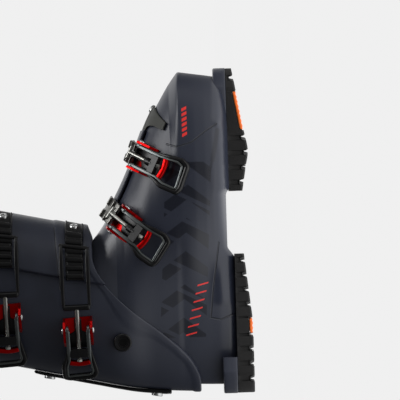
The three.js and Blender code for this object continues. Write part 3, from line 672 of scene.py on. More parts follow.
def pad_skin(first, last, top, tread, insert, slant):
    """Bottom row by row: tread height plus grooves, whose phase slants with the distance from the middle."""
    x = np.linspace(first, last, int((last - first) / 0.62))
    x = np.concatenate([[first], x, [last]])[:, None]
    across = np.linspace(-1, 1, 73)[None, :]
    half = pad_half_width(x)
    y = across * half
    phase = (x - first + slant * np.abs(y) / 10) / TREAD_PITCH % 1
    groove = ease(0.62, 0.69, phase) * ease(1.0, 0.93, phase)
    rib = ease(3.0, 2.2, np.abs(y)) * 0.8
    cut = GROOVE_DEPTH * np.maximum(groove, rib)
    shoulder = 1.6 * ease(0.93, 1.0, np.abs(across)) ** 1.5
    inside = ease(insert[0] - 0.3, insert[0] + 0.1, x) * ease(insert[1] + 0.3, insert[1] - 0.1, x)
    bottom = tread(x) + np.maximum(np.maximum(cut, shoulder) * (1 - inside), GLIDE_SEAT * inside)
    back = np.linspace(1, -1, 13)[None, :]
    rise = np.linspace(0.12, 1, 8)[None, :]
    notch = 2.2 * groove[:, -1:] * (1 - inside) * (1 - rise) ** 0.5
    side_z = mix(bottom[:, -1:], top + 0.4, rise)
    z = np.concatenate([bottom, side_z, top + 0.6 - 0.2 * np.abs(back) ** 8 + 0 * x, side_z[:, ::-1]], 1)
    side_y = half * (1 - 0.008 * rise) - notch
    y = np.concatenate([y + 0 * x, side_y, back * (half - 0.5), -side_y[:, ::-1]], 1)
    y[[0, -1]] = 0
    return skin(np.stack([x + 0 * y, y, z], -1), loop_columns=True)


# First and last place, top, tread, the glide plate's two ends and the grooves' slant.
PADS = {
    "toe": (37, HALF_SOLE - PAD_SETBACK, TOE_PAD_TOP, toe_tread, (94, 130), 0.9),
    "heel": (-HALF_SOLE + PAD_SETBACK, -22, HEEL_PAD_TOP, heel_tread, (-96, -82), -0.9),
}
# Place along the boot and height of the tread under the screws.
SCREWS = {"toe": (64, 1.0), "heel": (-116, 0.0)}
for end, numbers in PADS.items():
    pad = make_piece(f"{end}_tread_pad", [pad_skin(*numbers)], "shell", "sole_rubber", sharp=30)
    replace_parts(pad, f"{end}_sole")

# %% Glide plates and sole screws


def glide_surface(first, last, tread):
    """A thin plate across the pad that follows the tread's height."""

    def surface(s, t, offset):
        x = mix(first + 0.4, last - 0.4, s)
        y = mix(-1, 1, t) * (pad_half_width(x) - 0.3)
        underside = offset < 1
        ribs = 0.25 * np.sin(x * 2 * math.pi / 4.5) * underside
        return np.stack([x, y, tread(x) + offset + ribs + 0.25 * underside], -1)

    return surface


SCREW_OUT = 16
SCREW_PROFILE = [[0, 0], [0, 3.9], [2.8, 3.9], [3.2, 3.5]]
COLLAR_PROFILE = [[0, 0], [0, 5.2], [0.6, 5.2], [0.6, 0]]
DOWN = [0, 0, -1]
for end, (_, _, _, tread, (first, last), _) in PADS.items():
    surface = glide_surface(first, last, tread)
    sheet = rounded_sheet(surface, (last - first, 68), inner=0.3, outer=3.3, edge=0.8, spacing=(0.7, 2))
    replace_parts(make_piece(f"{end}_glide_insert", sheet, "shell", "glide_orange"), f"{end}_glide_plate")
    place, height = SCREWS[end]
    for side, sign in (("lateral", -1), ("medial", 1)):
        screw = turned([place, sign * SCREW_OUT, height + 4.2], DOWN, SCREW_PROFILE, socket=(2.0, 3.2, 1.4))
        collar = turned([place, sign * SCREW_OUT, height + 4.9], DOWN, COLLAR_PROFILE)
        name = f"{end}_sole_screw_{side}"
        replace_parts(make_piece(f"{name}_head", [screw, collar], "shell", "steel"), name)

# %% [markdown]
# ## The cuff
# The cuff is one stiff sheet wrapped right round the leg. It starts under the lap in front, passes the
# outside, the back and the inside of the leg, and ends as the lap's free edge on the outside. Its lower
# edge is a line in the side view, so each turn's lowest height is found where the sheet meets that line.

# %% Cuff
WRAP_START, WRAP_END = math.radians(35), math.radians(-435)


def lower_edge(x):
    """Height of the cuff's lower edge at a place along the boot."""
    return 50 + 98 * ease(-142, -22, x) + 4 * ease(-10, 6, x)


def layer_at(turn):
    """How far out the sheet lies: it climbs one layer on the inner side, before it laps over itself."""
    return LAYER * ease(math.radians(-205), math.radians(-315), turn)


def cuff_foot(turn):
    """Height where the sheet meets the edge line."""
    return farthest(40 + 0 * turn, 160 + 0 * turn, lambda z: z <= lower_edge(cuff_point(z, turn, 0)[0]))


cuff_turns = even_turns(lambda turn: cuff_point(200.0, turn, 0), 2001, WRAP_START, WRAP_END, loop=False)


def cuff_surface(s, t, offset):
    """s climbs from the lower edge to the top edge, t follows the wrap. Two soft steps dress the sheet."""
    turn = np.interp(t, np.linspace(0, 1, len(cuff_turns)), cuff_turns)
    foot = cuff_foot(turn[0])[None, :] if turn.ndim == 2 else cuff_foot(turn)
    top = 298 + 22 * ease(-20, -90, cuff_point(300.0, turn, 0)[0])
    z = mix(foot, top, s)
    x, _ = cuff_point(z, turn, 0)
    outside = offset > -CUFF_WALL / 2
    seam = 182.5 + 0.085 * (x - 2)
    band = 0.9 * ease(seam + 1.4, seam - 1.4, z) * ease(-58, -38, x)
    lip = 0.8 * ease(foot + 8.5, foot + 6.5, z)
    x, y = cuff_point(z, turn, offset + layer_at(turn) + outside * (band + lip - 0.5))
    return np.stack([x, y, z], -1)


cuff_sheet = rounded_sheet(
    cuff_surface, (215, 560), inner=-CUFF_WALL, outer=0.1, edge=1.5, spacing=(1.7, 2.0)
)
cuff = make_piece("cuff_moulding", cuff_sheet, "cuff", "shell_plastic")
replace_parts(cuff, "cuff_shell")

# %% Pivot bolts


BOLT_PROFILE = [
    [-11, 0], [-11, 4.5], [0, 4.6], [0.6, 8.3], [4.6, 8.5], [6.2, 8.1], [6.6, 7.4], [6.3, 5.6], [5.6, 5.2],
]
bolt_seat = float(shell_side(*map(np.array, PIVOT))) + CUFF_CLEARANCE + CUFF_WALL + 0.1
for side, sign in (("lateral", -1), ("medial", 1)):
    base = [PIVOT[0], sign * bolt_seat, PIVOT[1]]
    bolt = turned(base, [0, sign, 0], BOLT_PROFILE, sides=72, socket=(4.0, 5.5, 2.2))
    name = f"cuff_pivot_bolt_{side}"
    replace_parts(make_piece(f"{name}_head", [bolt], "shell", "trim_black"), name)

# %% [markdown]
# ## Spine, spoiler and strap
# These follow the leg's surface: a place is a turn about the leg and a height.

# %% Plates that follow the leg
LEG_RADIUS = 58.0


def leg_point(z, degrees, offset):
    """A point on the cuff's surface at a height and a turn, offset outwards."""
    x, y = cuff_point(z, np.radians(degrees), offset)
    return np.stack([x, y, z + 0 * x], -1)


def leg_sheet(degrees, heights, inner, outer, edge, spacing, shape=None):
    """A round-edged sheet between two turns and two heights. shape(s, t) adds to the outer offset."""
    span = math.radians(abs(degrees[1] - degrees[0])) * LEG_RADIUS

    def surface(s, t, offset):
        extra = shape(s, t) * (offset > (inner + outer) / 2) if shape else 0
        return leg_point(mix(*heights, s), mix(*degrees, t), offset + extra)

    return rounded_sheet(surface, (heights[1] - heights[0], span), inner, outer, edge, spacing)


def spine_ribs(s, t):
    """Three raised ribs along the spine: a cosine across it that fades at both ends."""
    ribs = 0.45 * np.cos(np.clip((t - 0.5) * 3, -1.5, 1.5) * 2 * math.pi)
    return ribs * ease(0, 0.06, s) * ease(1, 0.94, s) - 0.4


spine = leg_sheet((-188.5, -171.5), (78, 206), 0.4, 3.4, 1.2, (1.6, 0.5), spine_ribs)
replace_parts(make_piece("spine_plate", spine, "cuff", "trim_black"), "rear_spine")
flat_head = [[-2, 0], [-2, 5.0], [0.3, 5.4], [1.0, 5.2], [1.3, 4.6]]
for place, z in (("lower", 92), ("upper", 192)):
    x = float(cuff_point(np.array(float(z)), math.pi, 4.4)[0])
    screw = turned([x, 0, z], [-1.4, 0, 0.25], flat_head, socket=(2.5, 1.3, -0.2))
    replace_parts(make_piece(f"spine_screw_{place}_head", [screw], "cuff", "steel"), f"spine_screw_{place}")

spoiler = leg_sheet((155, 205), (246, 328), -CUFF_WALL - 4.1, -CUFF_WALL - 0.9, 1.4, (2, 2))
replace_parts(make_piece("spoiler_plate", spoiler, "cuff", "trim_black"), "spoiler")


def strap_weave(s, t):
    """Thicker woven edges and a slight wave from the pull of the strap."""
    hem = 0.35 * (ease(0.1, 0.05, s) + ease(0.9, 0.95, s))
    return hem + 0.25 * np.sin(t * 40) * np.sin(s * math.pi) - 0.3


strap = leg_sheet((-128, 128), (284, 322), LAYER + 0.6, LAYER + 3.4, 0.9, (1.2, 2.2), strap_weave)
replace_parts(make_piece("power_strap_band", strap, "cuff", "strap_webbing"), "power_strap")
tail = leg_sheet((-112, -38), (288, 318), LAYER + 3.5, LAYER + 5.9, 0.8, (1.2, 2.0), strap_weave)
make_piece("power_strap_tail", tail, "cuff", "strap_webbing")
tab = leg_sheet((-46, -37), (289.5, 316.5), LAYER + 5.6, LAYER + 7.2, 0.8, (1.0, 1.0))
make_piece("power_strap_tab", tab, "cuff", "trim_black")


def leg_loop(degrees, heights, offset, softness=2.0):
    """A closed path round a rectangle of turns and heights on the leg's surface, corners rounded."""
    (a, b), (low, high) = degrees, heights
    corners = [[a, low], [b, low], [b, high], [a, high]]
    turn, height = rounded_path(corners, softness, 0.8, loop=True).T
    return leg_point(height, turn, offset)


slider_path = leg_loop((-119, -109), (284.5, 321.5), LAYER + 5.4)
slider = sweep(slider_path, 1.5, 1.5, [-0.35, -1, 0.1], loop=True, sides=12)
make_piece("power_strap_slider", [slider], "cuff", "steel")

# %% [markdown]
# ## The liner
# The liner is a sewn boot of foam and cloth inside the shell, one piece across the joint. It is a closed
# skin: up the outside, over a full collar, and down inside to the foot bed. Cloth simulation swells the
# collar between its seams, with everything under the cuff's rim held still.

# %% Liner shape
LINER_WALL = 7.0
BOARD_TOP = 33.5
LINER_INSET = SHELL_WALL + 0.9
liner_turns = even_turns(lambda turn: shell_point(90.0, turn), 150)


def behind(turn):
    """1 at the back of the leg, 0 elsewhere."""
    return ease(0.72, 0.9, -np.cos(turn))


def collar_height(turn):
    """Top of the liner: higher behind, lower in front."""
    return 321 + 10 * behind(turn) - 6 * ease(0.5, 0.95, np.cos(turn))


def liner_ring(z, turn, depth):
    """x and y of the liner's skin: inside the shell low down, inside the cuff above, moved in by depth."""
    low = shell_point(np.minimum(z, 150), turn, LINER_INSET + depth)
    room = 3.9 * behind(turn) * ease(226, 240, z)
    high = cuff_point(z, turn, -CUFF_WALL - 0.9 - room - depth)
    share = ease(141, 156, z)
    return mix(low[0], high[0], share), mix(low[1], high[1], share)


def liner_skin():
    """Rows: closed bottom, outer wall, round collar, inner wall, closed foot bed."""
    turn = liner_turns[None, :]
    close = np.sin(np.linspace(0, math.pi / 2, 7))[:-1]
    climb = np.linspace(0, 1, 96)
    rim = np.linspace(0, math.pi, 12)[1:-1]
    half = LINER_WALL / 2
    deep = LINER_WALL + 0 * climb
    depth = joined(0 * close, 0 * climb, half * (1 - np.cos(rim)), deep, LINER_WALL + 0 * close)
    share = joined(0 * close, climb, 1 + 0 * rim, climb[::-1], 0 * close)
    bulge = joined(0 * close, 0 * climb, np.sin(rim), 0 * climb, 0 * close)
    spread = joined(close, 1 + 0 * climb, 1 + 0 * rim, 1 + 0 * climb, close[::-1])
    bed = joined(0 * close, 0 * climb, 0 * rim, 1 + 0 * climb, 1 + 0 * close)
    bottom = BOARD_TOP + 0.4 + 6.6 * bed
    z = mix(bottom, collar_height(turn) - half, share) + bulge * half
    x, y = liner_ring(z, turn, depth)
    return np.stack([x, y * spread, z], -1)


liner_grid = liner_skin()
liner = make_piece("liner_boot", [skin(liner_grid, loop_columns=True)], None, "liner_fabric", sharp=60)
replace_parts(liner, "liner_foot", "liner_ankle", "liner_cuff")

# %% Swelling by cloth simulation


def vertex_rows(mesh, field="co"):
    """A mesh's vertex positions, or its normals, as an array of rows."""
    flat = np.empty(len(mesh.vertices) * 3, np.float32)
    mesh.vertices.foreach_get(field, flat)
    return flat.reshape(-1, 3).astype(float)


def move_vertices(mesh, rows):
    """Gives a mesh's vertices new positions."""
    mesh.vertices.foreach_set("co", rows.astype(np.float32).ravel())
    mesh.update()


def in_drawing(rows):
    """x, y and z in the drawing's millimetres from rows in the frame's metres."""
    return (rows / MM - SHIFT).T


def swell(piece, held, cap, pressure=4.0, frames=14):
    """Inflates a closed piece as cloth. held is 1 where it stays still, and no point moves more than cap."""
    before = vertex_rows(piece.data)
    group = piece.vertex_groups.new(name="held")
    for level in np.unique(held.round(1)):
        members = np.flatnonzero(held.round(1) == level).tolist()
        group.add(members, float(level), "REPLACE")
    cloth = piece.modifiers.new("cloth", "CLOTH")
    cloth.settings.use_pressure = True
    cloth.settings.uniform_pressure_force = pressure
    cloth.settings.vertex_group_mass = "held"
    cloth.settings.quality = 4
    cloth.settings.effector_weights.gravity = 0
    cloth.point_cache.frame_end = frames
    for step in range(1, frames + 1):
        bpy.context.scene.frame_set(step)
    swelled = piece.evaluated_get(bpy.context.evaluated_depsgraph_get())
    move = vertex_rows(swelled.to_mesh()) - before
    swelled.to_mesh_clear()
    piece.modifiers.remove(cloth)
    piece.vertex_groups.remove(group)
    bpy.context.scene.frame_set(1)
    length = np.linalg.norm(move, axis=1, keepdims=True)
    move_vertices(piece.data, before + move * np.minimum(1, cap / np.maximum(length, 1e-9)))
    print(f"{piece.name}: swelled by up to {length.max() * 1000:.1f} mm, capped at {cap * 1000:.1f} mm")


def sew(piece, depth_at):
    """Draws a piece's seams in: each point moves against its normal by depth_at(positions), in metres."""
    place = vertex_rows(piece.data)
    move_vertices(piece.data, place - vertex_rows(piece.data, "normal") * depth_at(place)[:, None])


def collar_seams(place):
    """A seam round the collar 15 mm below its top, and upright seams every 36 degrees about the leg."""
    x, y, z = in_drawing(place)
    turn = np.arctan2(y, x - sum(cuff_limits(z)) / 2)
    below_ring = collar_height(turn) - 15 - z
    from_upright = 18 - np.abs((np.degrees(turn) % 36) - 18)
    uprights = bell(from_upright / 1.6) * ease(16, 13, below_ring)
    return 0.0012 * np.maximum(bell(below_ring / 1.4), uprights) * ease(285, 300, z)


height = in_drawing(vertex_rows(liner.data))[2]
swell(liner, ease(311, 300, height), cap=0.0028)
sew(liner, collar_seams)
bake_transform(liner)

# %% [markdown]
# The tongue is a separate pad that lies against the shin. It stands above the collar in front.

# %% Liner tongue
TONGUE_GAP = 8.5
TONGUE_DEPTH = -CUFF_WALL - LINER_WALL - TONGUE_GAP


def tongue_surface(s, t, offset):
    """A sheet bent round the shin, narrower and rounder towards its top, with a padded swell."""
    top = 337.5 - 7 * (2 * t - 1) ** 2
    z = mix(157, top, s)
    degrees = mix(-50, 50, t) * (1 - 0.12 * ease(0.9, 1.0, s))
    swell_out = 0.9 * np.sin(math.pi * t) ** 0.5 * (offset > TONGUE_DEPTH + 3)
    return leg_point(z, degrees, offset - 0.9 + swell_out)


tongue_sheet = rounded_sheet(
    tongue_surface, (180, 74), inner=TONGUE_DEPTH + 0.4, outer=TONGUE_DEPTH + 5.6, edge=2.4, spacing=(3, 2.4)
)
tongue = make_piece("shin_tongue", tongue_sheet, "cuff", "liner_fabric", sharp=60)


def tongue_seams(place):
    """Two seams along the tongue and cross channels every 17 mm above the strap."""
    _, y, z = in_drawing(place)
    lengthwise = bell((np.abs(y) - 17) / 1.3)
    crosswise = bell(((z - 252) % 17 - 8.5) / 1.5) * (np.abs(y) < 17)
    return 0.0008 * np.maximum(lengthwise, crosswise) * ease(236, 246, z)


height = in_drawing(vertex_rows(tongue.data))[2]
swell(tongue, np.maximum(ease(240, 200, height), 0.35), cap=0.0016)
sew(tongue, tongue_seams)
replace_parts(tongue, "liner_tongue")

# %% [markdown]
# ## Buckles
# Each buckle is drawn flat about its lever's pivot: u runs down the lever to its grip, v along the
# pivot pin and w away from the boot. A place over the skin is an angle from w towards the catch, seen
# from a centre inside the boot, a place along v and a height above the skin.

# %% A buckle's own frame
RAY_CENTRE = 60.0
PIN_HEIGHT = 11.0
TOOTH_PITCH = 9.3
RUNG_PITCH = 7.4
RUNG_START = 47.0
RUNG_HALF = 2.3
TOOTH_HEIGHT = 2.6
TOOTH_LENGTH = 2.7
CATCH_THICKNESS = 2.2
ARM_INSIDE = 8.7
EAR_OUTSIDE = 13.6
ROD_RADIUS = 2.35
HOOK_RADIUS = 1.7
LEVER_BOW = 5.0
LINK_SHARE = 0.42
CATCH_START, CATCH_LEAD = 6.0, 0.6
LADDER_START, LADDER_LEAD = 46.0, 2.0
UPRIGHT_BAR = dict(up=[0, 0, 1], sides=20)


class Buckle:
    """One buckle's directions, its pivot and the skin under it."""

    def __init__(self, name, body, side, foot, grip, lean, flap_offset):
        self.name, self.body, self.side, self.flap_offset = name, body, side, flap_offset
        p, q = (np.array([x, -float(side(np.array(x), np.array(z))), z]) for x, z in (foot, grip))
        self.length = np.linalg.norm(q - p)
        self.u = (q - p) / self.length
        across = np.array([lean[0], 0, lean[1]])
        across = across - self.u * (across @ self.u)
        self.v = across / np.linalg.norm(across)
        self.w = np.cross(self.u, self.v)
        if self.w[1] > 0:
            self.v, self.w = -self.v, -self.w
        self.pivot = p + self.w * PIN_HEIGHT
        self.link = np.array([LINK_SHARE * self.length, 0, self.lift(LINK_SHARE * self.length)])

    def place(self, local):
        """The drawing's millimetres from (u, v, w)."""
        return self.pivot + np.asarray(local) @ np.stack([self.u, self.v, self.w])

    def make(self, part, skins, slot_name, body=None, sharp=38, replaces=None):
        """A piece of this buckle from skins in its own frame."""
        placed = [(self.place(points), faces) for points, faces in skins]
        piece = make_piece(f"{self.name}_{part}", placed, body or self.body, slot_name, sharp)
        if replaces:
            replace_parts(piece, f"{self.name}_{replaces}")
        return piece

    def reach(self, angle, v):
        """Distance from the centre to the skin along a ray."""
        nothing = 0 * angle + 0 * v

        def within(r):
            local = np.stack([-r * np.sin(angle), v + 0 * r, r * np.cos(angle) - RAY_CENTRE], -1)
            x, y, z = np.moveaxis(self.place(local), -1, 0)
            return np.abs(y) < self.side(x, z)

        return farthest(nothing, 130 + nothing, within)

    def over(self, angle, v, height):
        """(u, v, w) at a height square to the skin: the height is stretched by the skin's slope."""
        angle, v = np.broadcast_arrays(np.asarray(angle, float), np.asarray(v, float))
        r = self.reach(angle, v)
        slope = (self.reach(angle + 0.02, v) - self.reach(angle - 0.02, v)) / (0.04 * r)
        r = r + height * np.hypot(1, slope)
        return np.stack([-r * np.sin(angle), v, r * np.cos(angle) - RAY_CENTRE], -1)

    def arc_radius(self):
        """Radius that turns a length along the catch into an angle."""
        return RAY_CENTRE - PIN_HEIGHT + self.flap_offset

    def lift(self, u):
        """Bow of the lever: a parabola between its pivot and its end."""
        share = np.clip(u / self.length, 0, 1)
        return 4 * LEVER_BOW * share * (1 - share)

    def bowed(self, flat, raise_by=0.0):
        """Flat (u, v) points put on the lever's bow."""
        return np.stack([flat[:, 0], flat[:, 1], self.lift(flat[:, 0]) + raise_by], 1)


# %% [markdown]
# The lever is a bowed metal stirrup whose grip has a thick black rim moulded round it. Its arms end in
# eyes on the pivot rivets.

# %% Levers, rivets and rods


def make_lever(b):
    """A metal loop swept along the arms and grip, eyes at the pivot, and a black rim round the grip."""
    end = b.length
    steel_line = [
        [0, 9.4], [0.48 * end, 9.5], [0.8 * end, 11.7], [0.885 * end, 9.7], [end - 4.6, -8.6],
        [0.92 * end, -12.2], [0.7 * end, -12.4], [0.54 * end, -9.6], [0, -9.4],
    ]
    path = rounded_path(steel_line, 1.1, 0.7)
    thin = mix(1.9, 1.15, ease(0.3 * end, 0.62 * end, path[:, 0]))
    tall = mix(3.3, 2.2, ease(0, 0.5 * end, path[:, 0]))
    loop = sweep(b.bowed(path, 0.3), thin, tall, **UPRIGHT_BAR, power=4, dome=0.2)
    eye = [[0, 0], [0, 4.0], [0.3, 4.3], [2.0, 4.3], [2.3, 4.0], [2.3, 0]]
    eyes = [turned([0, sign * ARM_INSIDE, 0], [0, sign, 0], eye) for sign in (-1, 1)]
    lever = f"{b.name}_lever"
    b.make("lever_stirrup", [loop, *eyes], "lever_gunmetal", lever, replaces="lever")
    rim_line = [
        [0.34 * end, 10.9], [0.52 * end, 11.9], [0.84 * end, 14.8], [0.95 * end, 11.8], [end - 1.2, -10.0],
        [0.945 * end, -15.2], [0.67 * end, -15.5], [0.5 * end, -12.0], [0.36 * end, -10.9],
    ]
    path = rounded_path(rim_line, 1.3, 0.7)
    growth = ease(0.38 * end, 0.66 * end, path[:, 0])
    rim = sweep(b.bowed(path), mix(0.9, 2.1, growth), mix(1.6, 3.0, growth), **UPRIGHT_BAR, power=3)
    b.make("lever_rim", [rim], "trim_black", lever)


def make_crossbar(b):
    """A red bridge between the lever's arms, bowed a little away from the pivot."""
    v = np.linspace(-9.0, 9.0, 25)
    u = b.link[0] + 10.6 - 1.4 * (v / 9) ** 2
    path = np.stack([u, v, b.lift(u) + 0.2], 1)
    bar = sweep(path, 2.5, 2.3, **UPRIGHT_BAR, power=3.5, dome=0.3)
    b.make("lever_bridge", [bar], "anodised_red", f"{b.name}_lever")


def make_base_pad(b):
    """A black pad on the base's floor: a narrow tongue under the rod that widens behind the pivot."""
    front_side = 9.0 if b.body == "shell" else 3.4

    def surface(s, t, offset):
        u = mix(-6.4, 16.4, s)
        wide = ease(3.5, 6.5, u)
        v = mix(mix(-3.4, -8.4, wide), mix(front_side, 9.0, wide), t)
        return b.over(-u / (RAY_CENTRE - PIN_HEIGHT), v, offset)

    sheet = rounded_sheet(surface, (23, 14), inner=2.0, outer=3.1, edge=0.5, spacing=(0.9, 0.9))
    b.make("base_pad", sheet, "trim_black")


def make_rivets(b):
    """Domed heads on the ears, with shanks through the lever's eyes."""
    profile = [[-3.3, 0], [-3.3, 1.5], [0.2, 1.5], [0.3, 3.1], [0.9, 3.0], [1.5, 2.4], [1.8, 1.3], [1.9, 0]]
    for place, sign in (("front", -1), ("rear", 1)):
        head = turned([0, sign * (EAR_OUTSIDE + 0.1), 0], [0, sign, 0], profile, sides=32)
        b.make(f"rivet_{place}_head", [head], "steel", replaces=f"rivet_{place}")


def rod_skins(b, start, towards_key):
    """A round rod from start through the trunnion, threaded where it passes it, and a hexagonal key end."""
    key = b.link + towards_key * 5.6
    path = np.linspace(start, b.link + towards_key * 6.2, 120)
    travelled = (path - b.link) @ towards_key
    thread = 0.22 * np.sin(travelled * 2 * math.pi / 1.25) * ease(-15, -13, travelled)
    rod = sweep(path, ROD_RADIUS - 0.2 + thread, ROD_RADIUS - 0.2 + thread, [0, 1, 0], sides=20, dome=0.3)
    key_profile = [[0, 0], [0, 2.3], [0.3, 2.6], [2.2, 2.6], [2.5, 2.3], [2.5, 0]]
    return [rod, turned(key, towards_key, key_profile, sides=6)]


def make_hook_bail(b):
    """A T-shaped hook in the first valley of the catch, and its rod."""
    angle = (CATCH_START + CATCH_LEAD + TOOTH_LENGTH + HOOK_RADIUS + 0.5) / b.arc_radius()
    height = b.flap_offset + CATCH_THICKNESS + HOOK_RADIUS + 1.5
    bar = b.over(angle, np.array([-7.0, 0, 7.0]), height)
    hook = np.array([bar[1, 0], 0, bar[:, 2].max()])
    towards_key = (b.link - hook) / np.linalg.norm(b.link - hook)
    v = np.linspace(-5.6, 5.6, 15)[:, None]
    cross = sweep(hook + v * [0, 1, 0], HOOK_RADIUS, HOOK_RADIUS, **UPRIGHT_BAR, dome=0.8)
    bail = f"{b.name}_bail"
    b.make("bail_hook", [cross, *rod_skins(b, hook, towards_key)], "steel", bail, replaces="bail")
    barrel = [
        [0, 0], [0, 3.2], [0.5, 3.7], [3.0, 3.7], [3.4, 3.2],
        [4.2, 3.2], [4.6, 3.7], [9.6, 3.7], [10.2, 3.0], [10.2, 0],
    ]
    sleeve = turned(b.link - towards_key * 1.6, -towards_key, barrel, sides=40)
    b.make("bail_sleeve", [sleeve], "trim_black", bail)


# %% [markdown]
# The cuff's bails are long black frames, because they reach round the front of the leg to a ladder.

# %% Catches, ladders and frame bails


def tooth_shape(arc, first, count):
    """Teeth one pitch apart: a steep face towards the lever's pull and a sloping back."""
    local = arc - first
    tooth = local % TOOTH_PITCH
    inside = (local > 0) & (local < count * TOOTH_PITCH)
    return TOOTH_HEIGHT * ease(0, 0.7, tooth) * ease(TOOTH_LENGTH + 0.3, TOOTH_LENGTH - 1.0, tooth) * inside


def rung_shape(arc):
    """Six round-backed rungs one pitch apart: the root of 1 - d squared, d from a rung's middle."""
    local = arc - RUNG_START
    place = (local % RUNG_PITCH - RUNG_HALF) / RUNG_HALF
    inside = (local > 0) & (local < 6 * RUNG_PITCH)
    return TOOTH_HEIGHT * np.sqrt(np.clip(1 - place**2, 0, 1)) * inside


def make_toothed(b, part, slot_name, first_arc, lead, count, half_width, slot_half, tail=3.0):
    """A plate bent over the skin: a catch with teeth and a slot for the rod, or a ladder with rungs."""
    last_arc = first_arc + lead + count * TOOTH_PITCH + tail
    low, high = b.flap_offset, b.flap_offset + CATCH_THICKNESS

    def surface(s, t, offset):
        arc, v = mix(first_arc, last_arc, s), mix(-half_width, half_width, t)
        edge = ease(half_width, half_width - 1.0, np.abs(v))
        if slot_half:
            slot = ease(slot_half - 0.4, slot_half + 0.4, np.abs(v))
            raised = tooth_shape(arc, first_arc + lead, count) * edge * slot - 0.7 * (1 - slot)
        else:
            rail = 0.8 * ease(half_width - 2.0, half_width - 1.4, np.abs(v))
            raised = np.maximum(rung_shape(arc), rail) * edge
        return b.over(arc / b.arc_radius(), v, offset + raised * (offset > (low + high) / 2))

    spans = (last_arc - first_arc, 2 * half_width)
    sheet = rounded_sheet(surface, spans, low, high, 0.8, (0.42, 0.55))
    b.make(f"{part}_plate", sheet, slot_name, replaces=part)
    return last_arc


def make_frame_bail(b):
    """A rounded frame from a bar far down the ladder to a bridge beside the lever, and its rod."""
    far_arc = LADDER_START + LADDER_LEAD + 2 * TOOTH_PITCH + TOOTH_LENGTH + HOOK_RADIUS + 1.9
    near, far = 0.36, far_arc / b.arc_radius()
    height = b.flap_offset + CATCH_THICKNESS + HOOK_RADIUS + 1.4

    def height_at(angle):
        return mix(height, PIN_HEIGHT - 2.5, ease(far, near, angle))

    half_width = 12.1
    corners = np.array([[near, -1], [far, -1], [far, 1], [near, 1]]) * [b.arc_radius(), half_width]
    loop = rounded_path(corners, 1.1, 0.8, loop=True) / [b.arc_radius(), 1]
    angle, v = loop.T
    path = b.over(angle, v, height_at(angle))
    up = np.stack([-np.sin(angle), 0 * angle, np.cos(angle)], 1)
    wide = 1.5 + 0.5 * ease(0.5, 0.9, angle) * ease(far - 0.05, far - 0.2, angle)
    frame_loop = sweep(path, wide, 1.8, up, loop=True, sides=20, power=4)
    bar_v = np.linspace(-12.6, 12.6, 25)
    hook = b.over(far, bar_v, height_at(far))
    hook[:, 2] = b.over(far, 0.0, height_at(far))[2]
    hook_bar = sweep(hook, 1.75, 1.75, [-math.sin(far), 0, math.cos(far)], sides=20)
    bridge_at = b.over(near, 0.0, height_at(near))
    towards_key = (b.link - bridge_at) / np.linalg.norm(b.link - bridge_at)
    v = np.linspace(-10.6, 10.6, 20)[:, None]
    bridge = sweep(bridge_at + v * [0, 1, 0], 2.6, 2.6, [0, 0, 1], sides=24, power=3)
    bail = f"{b.name}_bail"
    b.make("bail_frame", [frame_loop, hook_bar, bridge], "trim_black", bail, replaces="bail")
    b.make("bail_rod", rod_skins(b, bridge_at, towards_key), "steel", bail)


# %% [markdown]
# The red base and the black block that carries the rod are plain solids, which the frame already holds.
# A copy of each gets its edges rounded by a bevel, which is quicker and truer than drawing it again.

# %% Base and trunnion from the frame's own nodes
SHARP_EDGE = 30


def softened(node, body, slot_name, width):
    """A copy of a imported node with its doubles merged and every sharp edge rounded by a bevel."""
    mesh = frame["nodes"][node].data.copy()
    tidy(mesh, SHARP_EDGE)
    piece = bpy.data.objects.new(f"{node}_rounded", mesh)
    bpy.context.scene.collection.objects.link(piece)
    bevel = piece.modifiers.new("round", "BEVEL")
    bevel.width = width * MM
    bevel.segments = 3
    bevel.limit_method = "ANGLE"
    bevel.angle_limit = math.radians(SHARP_EDGE)
    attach(piece, body)
    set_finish(piece, slot_name)
    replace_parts(piece, node)
    return piece


# %% All four buckles
# How far a catch stands off the bare skin, over the lap of the shell or of the cuff.
SHELL_LAP = 1 + 3.4 + 1.2
CUFF_LAP = LAYER + 0.9
LADDER_SCREW = [[-1.5, 0], [-1.5, 4.2], [0.2, 4.4], [1.2, 4.1], [1.8, 3.3]]
# Name, body, skin, the lever's pivot and grip as (x, z), the lean of its pin, and the lap.
BUCKLES = [
    Buckle("toe", "shell", shell_side, (70.4, 98.9), (47.1, 53.7), (-19.3, 7.1), SHELL_LAP),
    Buckle("instep", "shell", shell_side, (12.6, 119.5), (-20.6, 78.5), (-20.3, 6.2), SHELL_LAP),
    Buckle("lower_cuff", "cuff", cuff_side, (-83.0, 163.0), (-128.0, 161.0), (0.04, 1), CUFF_LAP),
    Buckle("upper_cuff", "cuff", cuff_side, (-69.0, 229.0), (-114.0, 227.0), (0.04, 1), CUFF_LAP),
]
for b in BUCKLES:
    make_lever(b)
    make_rivets(b)
    make_base_pad(b)
    make_crossbar(b)
    softened(f"{b.name}_base", b.body, "anodised_red", 0.5)
    softened(f"{b.name}_trunnion", f"{b.name}_trunnion", "trim_black", 0.7)
    if b.body == "shell":
        make_toothed(b, "catch", "catch_grey", CATCH_START, CATCH_LEAD, 3, half_width=10.8, slot_half=2.7)
        make_hook_bail(b)
    else:
        ladder = ("ladder", "trim_black", LADDER_START, LADDER_LEAD, 5)
        last_arc = make_toothed(b, *ladder, half_width=8.5, slot_half=0, tail=11.0)
        make_frame_bail(b)
        angle = (last_arc - 8.5) / b.arc_radius()
        seat, top = (b.over(angle, 0.0, b.flap_offset + CATCH_THICKNESS + rise) for rise in (0, 1.0))
        b.make("ladder_screw", [turned(seat, top - seat, LADDER_SCREW, socket=(1.9, 1.8, 0.4))], "steel")

